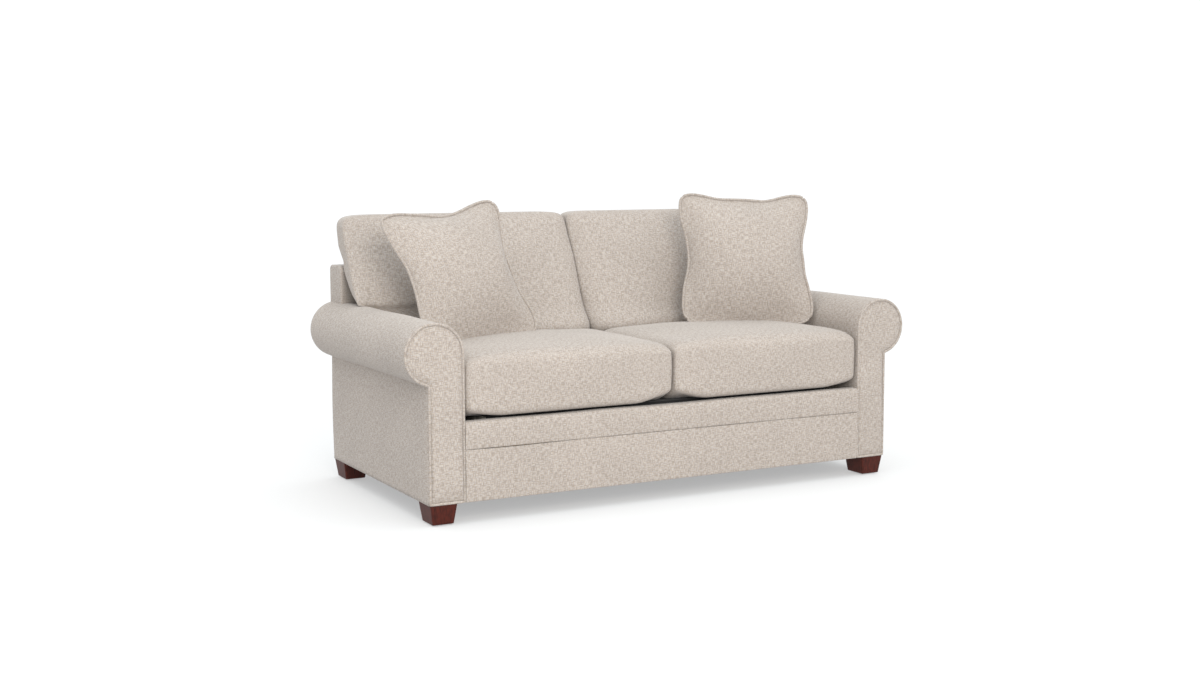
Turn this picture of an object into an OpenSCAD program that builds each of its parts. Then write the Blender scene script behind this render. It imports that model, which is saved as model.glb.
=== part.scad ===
// Rolled-arm two-seat sofa bed with a fold-out bed under the seat cushions.
// Units are millimetres. X runs across the width, the front faces -Y, Z is up from the floor.
// Depths are first counted back from the front of the arms, then centred by yo().

/* [Whole sofa] */
// Depth from the front of the arms to the outside back
body_d = 947; // [900:1:1000]
// Clear width between the two arms
seat_w = 1560; // [1500:1:1620]
// Height of the upholstered underside above the floor
base_z = 69.5; // [50:0.5:110]

/* [Arms] */
// Thickness of the upright part of an arm
arm_w = 125; // [100:1:150]
// Radius of the arm roll
roll_r = 102; // [90:1:115]
// Height of the middle of the arm roll
roll_z = 552; // [520:1:600]
// Depth of the padded panel on the arm front
panel_t = 16; // [12:1:24]
// Width of the flat welt round the arm front panel
welt_w = 9; // [6:0.5:12]
// Padding and fabric over the wooden frames
frame_gap = 12; // [8:1:12]

/* [Back] */
// Thickness of the padded back at its top
back_t = 126; // [110:1:140]
// Height of the back frame
back_z = 786; // [740:1:820]
// Height of the top of the back cushions
back_cushion_z = 968; // [940:1:1000]
// Height of the underside of the back cushions
back_cushion_low = 503; // [500:1:520]

/* [Front rail] */
// Height of the top of the front rail
rail_z = 330; // [320:1:340]
// Height of the seam between rail band and lower panel
seam_z = 240.5; // [200:0.5:270]
// Thickness of the upholstered front rail
rail_t = 46; // [40:1:46]
// Thickness of the board inside the front rail
rail_board_t = 22; // [18:1:26]

/* [Feet] */
// Width of a foot at its top
foot_top = 92; // [80:1:100]
// Width of a foot at its bottom
foot_low = 73; // [60:1:80]
// Depth of a foot at its top
foot_deep = 108; // [90:1:115]
// Distance from the foot to the side and front faces
foot_inset = 4; // [2:1:20]
// Height of the glide under a foot
glide_h = 4; // [3:0.5:6]
// Radius of a foot bolt
foot_bolt_r = 4; // [3:0.5:5]

/* [Seat cushions and pillows] */
// Height of the middle of a seat cushion
seat_z = 562; // [545:1:575]
// Thickness of a back cushion where it meets the seat
back_cushion_t = 221; // [221:1:240]
// How far a back cushion leans back for each millimetre of height
back_lean = 0.5; // [0.4:0.02:0.54]
// Gap left round a loose cushion
cushion_gap = 2; // [1:0.5:4]
// Gap left under a loose cushion or pillow where it rests
rest_gap = 0.3; // [0.2:0.1:1]
// Side of a throw pillow over its welt
pillow_s = 480; // [450:1:485]
// Thickness of a throw pillow at its middle
pillow_t = 165; // [120:1:170]
// Radius of the throw pillow welt
pillow_welt_r = 4.5; // [3:0.5:6]

/* [Folding bed] */
// Thickness of the foam mattress
mat_t = 82; // [76:0.5:82]
// Space on each side of the mattress for rails, legs and links
side_space = 95; // [95:1:120]
// Height of the lowest steel of the folded bed
bed_low = 72; // [72:1:74]
// Thickness of the deck cloth and of the straps under it
deck_t = 1.5; // [1:0.1:1.5]
// Height of a steel side rail above its deck
rail_h = 24; // [20:1:26]
// Width of a steel side rail
rail_w = 12; // [10:1:12]
// Clearance between steel parts that pass each other
steel_gap = 3; // [2:0.5:3]
// Distance from the front to the front fold of the bed
fold_u = 66; // [66:1:70]
// Length of a lift link between its pivots
link_l = 135; // [130:1:140]
// Radius of the pivot pins
pin_r = 5; // [4:0.5:6]
// Clearance round a turning pin
pin_gap = 0.06; // [0.03:0.01:0.1]

/* [Hidden] */
in_x = seat_w / 2;
out_x = in_x + arm_w;
roll_x = in_x + roll_r;
// Padding that is thicker over the edge of a board
edge_pad = 8;
// The frame stops where the roll is still thick enough to cover it
arm_top = roll_z + sqrt(pow(roll_r, 2) - pow(roll_r - frame_gap, 2)) - edge_pad;
frame_bar = 40;
top_r = 14;
back_u = body_d - back_t;
// Room behind the seat cushions for the lean of the back cushions
back_room = 19;
seat_d = back_u - back_cushion_t - back_room;
rear_u = seat_d + 2 * cushion_gap;
frame_z = back_z - frame_gap - 4;
// Bed stack, counted up from the lowest steel
deck2 = 2 * deck_t;
head_z = bed_low + deck2;
layer_gap = 2;
body_lo = head_z + mat_t + layer_gap;
body_hi = body_lo + mat_t;
foot_lo = body_hi + deck2 + layer_gap;
foot_z = foot_lo + deck2;
foot_hi = foot_z + mat_t;
cloth_t = 1.2;
piv = 12;
h1_z = head_z + piv;
h2_z = body_hi - piv;
h3_z = foot_lo - 1;
ear_r = 11;
// Lanes across the width, from the mattress out to the arm
mat_x = in_x - side_space;
lane_a = mat_x + steel_gap;
lane_b = lane_a + rail_w + steel_gap;
lane_c = lane_b + rail_w + steel_gap;
leg_w = 12;
lane_d = lane_c + leg_w + 2;
lane_e = lane_d + leg_w + steel_gap;
link_w = 10;
plate_t = 4;
lane_f = lane_e + link_w + 2;
board_x = lane_f + plate_t;
head_end = back_u - link_l - back_room;
bar_t = 12;
slat_w = 30;
// The straps under a deck start this far from a fold and stand this far apart
slat_start = 90;
slat_step = 110;
// Heads of the pivot pins, how far they stand out and how thick they are
pin_head = 2.5;
pin_head_t = 1.3;
side_slip = 0.4;
link_u1 = fold_u + 184;
link_u2 = head_end - 80;
link_z = h1_z + link_l;
leg_h = 18;
cap_l = 10;
leg_b_u = rear_u - 40;
leg_f_u = fold_u + 44;
leg_f_z = foot_lo + 13;
rise = 2 * link_l;
leg_b_l = h2_z + rise - (h2_z - h1_z) - 0.5;
leg_f_l = h1_z + rise + (h2_z - h3_z) + (leg_f_z - h3_z) - 0.5;
seat_low = foot_hi + cloth_t + rest_gap;
nseg = 12;

fabric = [0.74, 0.69, 0.62];
wood = [0.76, 0.6, 0.42];
dark_wood = [0.2, 0.08, 0.05];
steel = [0.32, 0.33, 0.35];
black = [0.06, 0.06, 0.07];
ticking = [0.88, 0.87, 0.84];

function yo(u) = u - body_d / 2;

// A box from x0 to x1, from depth u0 to u1 and from z0 to z1
module bx(x0, x1, u0, u1, z0, z1) {
  translate([x0, yo(u0), z0]) cube([x1 - x0, u1 - u0, z1 - z0]);
}

// The same box on both sides
module bx2(x0, x1, u0, u1, z0, z1) {
  bx(x0, x1, u0, u1, z0, z1);
  bx(-x1, -x0, u0, u1, z0, z1);
}

// A side profile drawn as [depth, height] pushed from x0 to x1
module side(x0, x1) {
  translate([x0, yo(0), 0]) rotate([90, 0, 90]) linear_extrude(height = x1 - x0) children();
}

// A round bar along X at depth u and height z
module rod(x0, x1, u, z, r) {
  translate([x0, yo(u), z]) rotate([0, 90, 0]) cylinder(h = x1 - x0, r = r, $fn = 48);
}

// The same bar on both sides
module rod2(x0, x1, u, z, r) {
  rod(x0, x1, u, z, r);
  rod(-x1, -x0, u, z, r);
}

module flip(s) {
  if (s < 0) mirror([1, 0, 0]) children();
  else children();
}

/* Arms */

// Section of an arm seen from the front, pulled in by i all round
module arm_2d(i, z0) {
  translate([in_x + i, z0]) square([arm_w - 2 * i, roll_z - z0]);
  translate([roll_x, roll_z]) circle(r = roll_r - i, $fn = 96);
}

// The arm section pushed from depth u0 to u1
module arm_run(u0, u1, i, z0) {
  translate([0, yo(u1), 0]) rotate([90, 0, 0]) linear_extrude(height = u1 - u0) arm_2d(i, z0);
}

// The hollow of an arm cover that holds its frame
module arm_hollow() {
  bx(in_x + frame_gap, out_x - frame_gap, panel_t, body_d - frame_gap, base_z - 1, arm_top);
}

module arm_cover(s) {
  color(fabric) flip(s) difference() {
    arm_run(panel_t, body_d, 0, base_z);
    arm_hollow();
  }
}

module arm_frame(s) {
  x0 = in_x + frame_gap;
  x1 = out_x - frame_gap;
  u1 = body_d - frame_gap;
  color(wood) flip(s) difference() {
    bx(x0, x1, panel_t, u1, base_z, arm_top);
    for (z = [[base_z + frame_bar, rail_z], [rail_z + frame_bar, arm_top - frame_bar]])
      bx(x0 - 1, x1 + 1, panel_t + frame_bar, u1 - frame_bar, z[0], z[1]);
    foot_bolt_set();
  }
}

module arm_panel(s) {
  color(fabric) flip(s) {
    arm_run(3, welt_w, welt_w, base_z + welt_w);
    arm_run(welt_w, panel_t, 0, base_z);
  }
}

module arm_welt(s) {
  color(fabric) flip(s) difference() {
    arm_run(0, welt_w, 0, base_z);
    arm_run(-1, welt_w + 1, welt_w, base_z + welt_w);
  }
}

/* Back */

module back_cover() {
  color(fabric) difference() {
    side(-out_x, out_x) polygon(concat(
      [[back_u, base_z], [body_d, base_z]],
      [for (a = [0:15:90]) [body_d - top_r + top_r * cos(a), back_z - top_r + top_r * sin(a)]],
      [for (a = [90:15:180]) [back_u + top_r + top_r * cos(a), back_z - top_r + top_r * sin(a)]]));
    arm_run(back_u - 1, body_d + 1, 0, base_z - 1);
    mirror([1, 0, 0]) arm_run(back_u - 1, body_d + 1, 0, base_z - 1);
    bx(-in_x + top_r, in_x - top_r, back_u + frame_gap, body_d - frame_gap, base_z - 1, frame_z);
  }
}

module back_frame() {
  x1 = in_x - top_r;
  u0 = back_u + frame_gap;
  u1 = body_d - frame_gap;
  bay = x1 / 3 - frame_bar;
  mid_z = (base_z + frame_z) / 2;
  color(wood) difference() {
    bx(-x1, x1, u0, u1, base_z, frame_z);
    for (k = [-1:1]) {
      x = k * (2 * x1 / 3);
      bx(x - bay, x + bay, u0 - 1, u1 + 1, base_z + frame_bar, mid_z - frame_bar / 2);
      bx(x - bay, x + bay, u0 - 1, u1 + 1, mid_z + frame_bar / 2, frame_z - frame_bar);
    }
  }
}

/* Soft forms */

// Point of a rounded square in the direction [v, w]
function se(v, w, p) = [v, w] / pow(pow(abs(v), p) + pow(abs(w), p), 1 / p);
function ease(i, n) = sin(90 * (-1 + 2 * i / n));
function ring(n, p) = concat(
  [for (i = [0:n-1]) se(1, ease(i, n), p)],
  [for (i = [0:n-1]) se(-ease(i, n), 1, p)],
  [for (i = [0:n-1]) se(-1, -ease(i, n), p)],
  [for (i = [0:n-1]) se(ease(i, n), -1, p)]);

// A closed solid through a row of rings, with a point at each end
module ring_solid(c0, rings, c1) {
  m = len(rings);
  n = len(rings[0]);
  pts = concat([c0], [for (r = rings) each r], [c1]);
  last = 1 + m * n;
  polyhedron(points = pts, convexity = 6, faces = concat(
    [for (i = [0:n-1]) [0, 1 + i, 1 + (i + 1) % n]],
    [for (j = [0:m-2]) for (i = [0:n-1])
      [1 + j * n + i, 1 + (j + 1) * n + i, 1 + (j + 1) * n + (i + 1) % n]],
    [for (j = [0:m-2]) for (i = [0:n-1])
      [1 + j * n + i, 1 + (j + 1) * n + (i + 1) % n, 1 + j * n + (i + 1) % n]],
    [for (i = [0:n-1]) [last, 1 + (m - 1) * n + (i + 1) % n, 1 + (m - 1) * n + i]]));
}

// Rows of [distance in from the edge, height] from the underside of a seat cushion to its top
seat_rows = [[200, seat_low], [34, seat_low], [9, seat_low + 9], [2, seat_low + 34],
  [0, seat_low + 95], [2, seat_z - 62], [7, seat_z - 38], [20, seat_z - 20], [48, seat_z - 9],
  [110, seat_z - 3], [190, seat_z - 1]];

module seat_cushion(s) {
  hx = (in_x - cushion_gap * 1.5) / 2;
  hu = seat_d / 2;
  cx = cushion_gap / 2 + hx;
  cy = yo(cushion_gap + hu);
  color(fabric) flip(s) ring_solid([cx, cy, seat_low],
    [for (r = seat_rows) [for (q = ring(nseg, 9))
      [cx + q[0] * (hx - r[0]), cy + q[1] * (hu - r[0]), r[1]]]],
    [cx, cy, seat_z]);
}

// Front and rear faces of a back cushion at height z
lean_z = back_cushion_low + 27;
function back_front(z) = back_u - back_cushion_t + back_lean * (z - lean_z);
// A back cushion rolls back over the top of the frame
over_z = back_z + 44;
function back_rear(z) = z < over_z ? back_u : min(back_u + 1.15 * (z - over_z), body_d - 42);
function smooth(t) = t <= 0 ? 0 : t >= 1 ? 1 : t * t * (3 - 2 * t);
// Outer edge of a back cushion, which widens over the arm above the roll
function back_edge(z) = in_x - 4 + (arm_w - 2) * smooth((z - (roll_z + roll_r + 4)) / 55);

// Rows of [distance in from the edge, share of the way to the rear, forward crown]
back_rows = [[150, 0, 40], [75, 0, 30], [30, 0.03, 10], [9, 0.14, 0], [1, 0.32, 0], [0, 0.52, 0],
  [2, 0.76, 0], [12, 0.94, 0], [36, 1, 0], [75, 1, 0], [110, 1, 0], [140, 1, 0]];

function back_point(q, d, f, c) =
  let (
    hz = (back_cushion_z - back_cushion_low) / 2,
    z = back_cushion_low + hz + q[1] * (hz - d),
    w = back_edge(z) - cushion_gap / 2,
    x = cushion_gap / 2 + w / 2 + q[0] * (w / 2 - d))
  [x, yo(back_front(z) * (1 - f) + back_rear(z) * f - c), z];

module back_cushion(s) {
  color(fabric) flip(s) ring_solid(back_point([0, 0], 0, 0, 46),
    [for (r = back_rows) [for (q = ring(nseg, 9)) back_point(q, r[0], r[1], r[2])]],
    back_point([0, 0], 0, 1, 0));
}

// Outline of a throw pillow with drawn-in sides, half size h
function pillow_ring(h, dent) = [for (q = ring(nseg, 12))
  let (m = min(abs(q[0]), abs(q[1])) / max(abs(q[0]), abs(q[1])))
  q * h * (1 - dent * (1 - m * m))];

function pillow_thick(k) = pillow_t / 2 * pow(1 - pow(k, 2.6), 0.72);

pillow_steps = [0.93, 0.8, 0.62, 0.38];

// Middle of the left and of the right throw pillow: from the arm, from the front, share of its
// side above the seat
pillow_left_at = [193, 468, 0.45];
pillow_right_at = [198, 427, 0.4645];

// Places a throw pillow by its middle and its turn, lean and tilt
module pillow_place(s) {
  m = s < 0 ? pillow_left_at : pillow_right_at;
  p = [s * (in_x - m[0]), m[1], seat_z + m[2] * pillow_s];
  a = s < 0 ? [18.6, -22.5, -2.3] : [-20.2, -17.3, 2.1];
  translate([p[0], yo(p[1]), p[2]])
    rotate([0, 0, a[0]]) rotate([a[1], 0, 0]) rotate([0, a[2], 0]) children();
}

module pillow(s) {
  h = pillow_s / 2 - 2 * pillow_welt_r - 2 * rest_gap;
  color(fabric) pillow_place(s) ring_solid([0, -pillow_t / 2, 0],
    concat(
      [for (i = [len(pillow_steps)-1:-1:0]) let (k = pillow_steps[i])
        [for (q = pillow_ring(h * k, 0.05 * k)) [q[0], -pillow_thick(k), q[1]]]],
      [[for (q = pillow_ring(h, 0.05)) [q[0], 0, q[1]]]],
      [for (k = pillow_steps) [for (q = pillow_ring(h * k, 0.05 * k))
        [q[0], pillow_thick(k), q[1]]]]),
    [0, pillow_t / 2, 0]);
}

// A round welt that follows the pillow edge
module pillow_welt(s) {
  r = pillow_welt_r;
  c = pillow_ring(pillow_s / 2 - r, 0.05);
  n = len(c);
  m = 8;
  pts = [for (i = [0:n-1])
    let (t = c[(i + 1) % n] - c[(i + n - 1) % n], o = [t[1], -t[0]] / norm(t))
    for (j = [0:m-1]) let (a = 360 * j / m)
      [c[i][0] + o[0] * r * cos(a), r * sin(a), c[i][1] + o[1] * r * cos(a)]];
  color(fabric) pillow_place(s) polyhedron(points = pts, convexity = 8, faces = concat(
    [for (i = [0:n-1]) for (j = [0:m-1])
      [i * m + j, i * m + (j + 1) % m, ((i + 1) % n) * m + (j + 1) % m]],
    [for (i = [0:n-1]) for (j = [0:m-1])
      [i * m + j, ((i + 1) % n) * m + (j + 1) % m, ((i + 1) % n) * m + j]]));
}

/* Front rail */

// Half of the gap at the seam between rail band and lower panel
seam_gap = 0.5;
// How far the band reaches down behind the board
band_tuck = 34;

module rail_board() {
  color(wood) bx(-in_x, in_x, frame_gap, frame_gap + rail_board_t, base_z, rail_z - edge_pad);
}

module rail_band() {
  b1 = frame_gap + rail_board_t;
  r = 7;
  color(fabric) side(-in_x, in_x) polygon(concat(
    [[frame_gap, seam_z + seam_gap], [frame_gap, rail_z - edge_pad], [b1, rail_z - edge_pad],
      [b1, rail_z - band_tuck], [rail_t, rail_z - band_tuck]],
    [for (a = [0:15:90]) [rail_t - r + r * cos(a), rail_z - r + r * sin(a)]],
    [for (a = [90:15:180]) [r + r * cos(a), rail_z - r + r * sin(a)]],
    [[0, seam_z + 3], [2, seam_z + seam_gap]]));
}

module rail_panel() {
  color(fabric) side(-in_x, in_x) polygon([[3, base_z], [frame_gap, base_z],
    [frame_gap, seam_z - seam_gap], [4, seam_z - seam_gap], [2, seam_z - 3], [2, base_z + 2]]);
}

module dust_cover() {
  color(black) difference() {
    bx(-in_x - 8, in_x + 8, 16, body_d - 16, base_z - 1.5, base_z);
    for (x = [-in_x - 9, in_x + 5])
      for (u = [15, body_d - 115]) bx(x, x + 4, u, u + 100, base_z - 2, base_z + 1);
  }
}

/* Feet */

// Middle of a foot, counted from the side and from the front
foot_c = out_x - foot_inset - foot_top / 2;
foot_u = foot_inset + foot_deep / 2;

// Holes and bolts of one arm, drawn on the right
module foot_bolt_set() {
  for (u = [foot_u, body_d - foot_u])
    translate([foot_c, yo(u), base_z - 35]) cylinder(h = 80, r = foot_bolt_r, $fn = 40);
}

module foot(s, u) {
  color(dark_wood) flip(s) difference() {
    translate([foot_c, yo(u), base_z]) mirror([0, 0, 1])
      linear_extrude(height = base_z - glide_h,
        scale = [foot_low / foot_top, 1 - (foot_top - foot_low) / foot_deep])
        square([foot_top, foot_deep], center = true);
    foot_bolt_set();
  }
}

module foot_glides() {
  color(black) for (x = [-foot_c, foot_c]) for (u = [foot_u, body_d - foot_u])
    translate([x, yo(u), 0]) cylinder(h = glide_h, r = 12, $fn = 40);
}

module foot_bolts() {
  color(steel) {
    foot_bolt_set();
    mirror([1, 0, 0]) foot_bolt_set();
  }
}

/* Fixed part of the bed mechanism */

// Steel bracket on its board, clear of the pins that swing past its bolts
plate_u0 = 90;
plate_u1 = 700;
plate_z1 = link_z + 36;
board_bolt_r = 3.5;
bolt_head_t = 1.6;
// The middle bolts stand behind the middle of the two links, clear of both when they swing
bolt_mid_u = (link_u1 + link_u2) / 2 + 11.5;
// The boards end clear of the rear links when these lie back
board_end = back_u - 41;

module bolt_spots() {
  for (u = [plate_u0 + 20, bolt_mid_u, plate_u1 - 20])
    for (z = [h1_z + 8, plate_z1 - 16]) translate([0, yo(u), z]) rotate([0, 90, 0]) children();
}

module side_board(s) {
  color(wood) flip(s) difference() {
    bx(board_x, in_x, rail_t + 14, board_end, base_z, plate_z1 + 4);
    bolt_spots() translate([0, 0, board_x - 1]) cylinder(h = 13, r = board_bolt_r, $fn = 32);
    rod(board_x - 1, board_x + 4, link_u1, link_z, pin_r + 4);
    rod(board_x - 1, board_x + 4, link_u2, link_z, pin_r + 4);
  }
}

module bracket(s) {
  color(steel) flip(s) difference() {
    bx(lane_f, board_x, plate_u0, plate_u1, base_z + 3, plate_z1);
    rod(lane_f - 1, board_x + 1, link_u1, link_z, pin_r);
    rod(lane_f - 1, board_x + 1, link_u2, link_z, pin_r);
    bx(lane_f - 1, board_x + 1, 340, link_u2 - 90, base_z + 50, link_z - 10);
    bolt_spots() translate([0, 0, lane_f - 1])
      cylinder(h = plate_t + 2, r = board_bolt_r, $fn = 32);
  }
}

module bracket_pins() {
  color(steel) for (u = [link_u1, link_u2]) {
    rod2(lane_e - 1.9, lane_f, u, link_z, pin_r);
    rod2(lane_e - 1.9, lane_e - side_slip, u, link_z, pin_r + 3);
    rod2(lane_f, board_x + 1.5, u, link_z, pin_r);
    rod2(board_x, board_x + 3, u, link_z, pin_r + 3.5);
  }
}

module bracket_bolts() {
  color(steel) for (s = [-1, 1]) flip(s) bolt_spots() {
    translate([0, 0, lane_f]) cylinder(h = plate_t + 12, r = board_bolt_r, $fn = 32);
    translate([0, 0, lane_f - bolt_head_t]) cylinder(h = bolt_head_t, r = 6.5, $fn = 32);
  }
}

/* Moving part of the bed mechanism */

module link(s, u) {
  color(steel) flip(s) difference() {
    union() {
      rod(lane_e, lane_e + link_w, u, h1_z, piv);
      rod(lane_e, lane_e + link_w, u, link_z, piv);
      bx(lane_e, lane_e + link_w, u - piv, u + piv, h1_z, link_z);
    }
    rod(lane_e - 1, lane_e + link_w + 1, u, h1_z, pin_r + pin_gap);
    rod(lane_e - 1, lane_e + link_w + 1, u, link_z, pin_r + pin_gap);
  }
}

// A steel side rail lying along the depth, with holes at the listed [u, z, r]
module long_rail(x, u0, u1, z0, z1, ears, holes) {
  difference() {
    union() {
      bx(x, x + rail_w, u0, u1, z0, z1);
      for (e = ears) rod(x, x + rail_w, e[0], e[1], e[2]);
    }
    for (h = holes) rod(x - 1, x + rail_w + 1, h[0], h[1], h[2]);
  }
}

module head_frame() {
  holes = [[fold_u, h1_z, pin_r], [link_u1, h1_z, pin_r], [link_u2, h1_z, pin_r]];
  u0 = fold_u - piv;
  u1 = head_end + 2 + bar_t;
  color(steel) {
    for (s = [-1, 1]) flip(s)
      long_rail(lane_a, u0, u1, bed_low, head_z + rail_h, [], holes);
    bx(-lane_a, lane_a, head_end + 2, u1, bed_low, head_z + rail_h);
    for (u = [fold_u + slat_start : slat_step + 10 : head_end - 40])
      bx(-lane_a, lane_a, u, u + slat_w, bed_low, bed_low + deck_t);
  }
}

module head_deck() {
  color(black) bx(-mat_x - steel_gap, mat_x + steel_gap, fold_u, head_end,
    bed_low + deck_t, head_z);
}

// Mattress segments are cut back where two of them close face to face
module head_mattress() {
  c = mat_t - piv + 2;
  color(ticking) side(-mat_x, mat_x) polygon([[fold_u + 1, head_z], [head_end, head_z],
    [head_end, head_z + mat_t], [fold_u + c, head_z + mat_t], [fold_u + 2, h1_z]]);
}

module mid_mattress() {
  c = min(mat_t - piv, (h2_z - h1_z) / 2 - 3);
  color(ticking) side(-mat_x, mat_x) polygon([[fold_u - piv, h1_z + 1], [fold_u, h1_z + 2],
    [fold_u + c, h1_z + c + 2], [fold_u + c, h2_z - c - 2], [fold_u, h2_z - 2],
    [fold_u - piv, h2_z - 1]]);
}

module body_mattress() {
  c = mat_t - piv + 2;
  color(ticking) side(-mat_x, mat_x) polygon([[fold_u + 1, body_hi], [fold_u + 2, h2_z],
    [fold_u + c, body_lo], [rear_u, body_lo], [rear_u, body_hi]]);
}

module foot_mattress() {
  color(ticking) bx(-mat_x, mat_x, fold_u, rear_u, foot_z, foot_hi);
}

module head_pins() {
  color(steel) {
    for (u = [link_u1, link_u2]) {
      rod2(lane_a, lane_e + link_w + side_slip, u, h1_z, pin_r);
      rod2(lane_a + rail_w, lane_e - side_slip, u, h1_z, pin_r + pin_head);
      rod2(lane_e + link_w + side_slip, lane_e + link_w + 1.5, u, h1_z, pin_r + pin_head);
    }
    x1 = lane_b + rail_w + 0.3;
    rod2(lane_a, x1, fold_u, h1_z, pin_r);
    rod2(x1, x1 + pin_head_t, fold_u, h1_z, pin_r + pin_head);
  }
}

module mid_frame() {
  u0 = fold_u - piv - deck2;
  color(steel) {
    for (s = [-1, 1]) flip(s) difference() {
      union() {
        bx(lane_b, lane_b + rail_w, u0, fold_u + piv, h1_z, h2_z);
        rod(lane_b, lane_b + rail_w, fold_u, h1_z, piv);
        rod(lane_b, lane_b + rail_w, fold_u, h2_z, piv);
      }
      for (z = [h1_z, h2_z]) rod(lane_b - 1, lane_b + rail_w + 1, fold_u, z, pin_r + pin_gap);
    }
    for (z = [h1_z + slat_w, h2_z - 2 * slat_w]) bx(-lane_b, lane_b, u0, fold_u - piv, z, z + slat_w);
  }
}

module body_frame() {
  holes = [[fold_u, h2_z, pin_r], [rear_u, h3_z, pin_r], [leg_b_u, h2_z, pin_r]];
  z1 = body_hi + deck2;
  color(steel) {
    for (s = [-1, 1]) flip(s) long_rail(lane_a, fold_u - piv, rear_u, body_hi - rail_h, z1,
      [[rear_u, h3_z, ear_r]], holes);
    for (u = [fold_u + slat_start : slat_step : rear_u - 2 * slat_w])
      bx(-lane_a, lane_a, u, u + slat_w, z1 - deck_t, z1);
  }
}

module body_deck() {
  color(black) bx(-lane_a, lane_a, fold_u, rear_u, body_hi, body_hi + deck_t);
}

module body_pins() {
  x1 = lane_b + rail_w + 0.3;
  color(steel) {
    for (p = [[fold_u, h2_z], [rear_u, h3_z]]) {
      rod2(lane_a, x1, p[0], p[1], pin_r);
      rod2(x1, x1 + pin_head_t, p[0], p[1], pin_r + pin_head);
    }
    rod2(lane_a, lane_c + leg_w, leg_b_u, h2_z, pin_r);
    rod2(lane_c + leg_w, lane_c + leg_w + 1.2, leg_b_u, h2_z, pin_r + 2);
  }
}

module foot_frame() {
  z1 = foot_z + rail_h - 2;
  u0 = fold_u - 2 - bar_t;
  color(steel) {
    for (s = [-1, 1]) flip(s) difference() {
      union() {
        bx(lane_b, lane_b + rail_w, u0, rear_u - 4, foot_lo, z1);
        rod(lane_b, lane_b + rail_w, rear_u, h3_z, ear_r);
        bx(lane_b, lane_b + rail_w, rear_u - 10, rear_u, h3_z, h3_z + ear_r);
      }
      rod(lane_b - 1, lane_b + rail_w + 1, rear_u, h3_z, pin_r + pin_gap);
      rod(lane_b - 1, lane_b + rail_w + 1, leg_f_u, leg_f_z, pin_r);
    }
    bx(-lane_b, lane_b, u0, u0 + bar_t, foot_lo, z1);
    for (u = [fold_u + slat_start - 40 : slat_step : rear_u - 2 * slat_w])
      bx(-lane_b, lane_b, u, u + slat_w, foot_lo, foot_lo + deck_t);
  }
}

module foot_deck() {
  color(black) bx(-lane_b, lane_b, fold_u, rear_u - 16, foot_lo + deck_t, foot_z);
}

module foot_pins() {
  color(steel) {
    rod2(lane_b, lane_d + leg_w, leg_f_u, leg_f_z, pin_r);
    rod2(lane_b + rail_w, lane_d - side_slip, leg_f_u, leg_f_z, pin_r + pin_head);
    rod2(lane_d + leg_w, lane_d + leg_w + 1, leg_f_u, leg_f_z, pin_r + 2);
  }
}

module seat_cloth() {
  color(black) bx(-mat_x + 6, mat_x - 6, fold_u + 6, rear_u - 6, foot_hi, foot_hi + cloth_t);
}

module pull_strap() {
  u1 = fold_u - 2 - bar_t;
  color(black) difference() {
    bx(-70, 70, u1 - 2, u1, foot_lo + 4, foot_hi - 4);
    bx(-45, 45, u1 - 3, u1 + 1, foot_z + rail_h + 8, foot_hi - 22);
  }
}

module body_leg(s) {
  color(steel) flip(s) difference() {
    union() {
      rod(lane_c, lane_c + leg_w, leg_b_u, h2_z, leg_h / 2);
      bx(lane_c, lane_c + leg_w, leg_b_u - leg_b_l + cap_l, leg_b_u, h2_z - leg_h / 2,
        h2_z + leg_h / 2);
    }
    rod(lane_c - 1, lane_c + leg_w + 1, leg_b_u, h2_z, pin_r + pin_gap);
  }
}

module body_leg_caps() {
  color(black) bx2(lane_c, lane_c + leg_w, leg_b_u - leg_b_l, leg_b_u - leg_b_l + cap_l,
    h2_z - leg_h / 2 - 2, h2_z + leg_h / 2 + 2);
}

module foot_leg(s) {
  color(steel) flip(s) difference() {
    union() {
      rod(lane_d, lane_d + leg_w, leg_f_u, leg_f_z, leg_h / 2);
      bx(lane_d, lane_d + leg_w, leg_f_u, leg_f_u + leg_f_l - cap_l, leg_f_z - leg_h / 2,
        leg_f_z + leg_h / 2);
    }
    rod(lane_d - 1, lane_d + leg_w + 1, leg_f_u, leg_f_z, pin_r + pin_gap);
  }
}

module foot_leg_caps() {
  color(black) bx2(lane_d, lane_d + leg_w, leg_f_u + leg_f_l - cap_l, leg_f_u + leg_f_l,
    leg_f_z - leg_h / 2 - 2, leg_f_z + leg_h / 2 + 2);
}

arm_frame(-1);  // arm_frame_left
arm_frame(1);  // arm_frame_right
arm_cover(-1);  // arm_cover_left
arm_cover(1);  // arm_cover_right
arm_panel(-1);  // arm_panel_left
arm_panel(1);  // arm_panel_right
arm_welt(-1);  // arm_welt_left
arm_welt(1);  // arm_welt_right
back_frame();
back_cover();
back_cushion(-1);  // back_cushion_left
back_cushion(1);  // back_cushion_right
rail_board();
rail_band();
rail_panel();
dust_cover();
foot(-1, foot_u);  // foot_front_left
foot(1, foot_u);  // foot_front_right
foot(-1, body_d - foot_u);  // foot_rear_left
foot(1, body_d - foot_u);  // foot_rear_right
foot_glides();
foot_bolts();
side_board(-1);  // side_board_left
side_board(1);  // side_board_right
bracket(-1);  // bracket_left
bracket(1);  // bracket_right
bracket_pins();
bracket_bolts();
link(-1, link_u1);  // link_front_left
link(1, link_u1);  // link_front_right
link(-1, link_u2);  // link_rear_left
link(1, link_u2);  // link_rear_right
head_frame();
head_deck();
head_mattress();
head_pins();
mid_frame();
mid_mattress();
body_frame();
body_deck();
body_mattress();
body_pins();
foot_frame();
foot_deck();
foot_mattress();
foot_pins();
seat_cloth();
pull_strap();
body_leg(-1);  // body_leg_left
body_leg(1);  // body_leg_right
body_leg_caps();
foot_leg(-1);  // foot_leg_left
foot_leg(1);  // foot_leg_right
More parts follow.
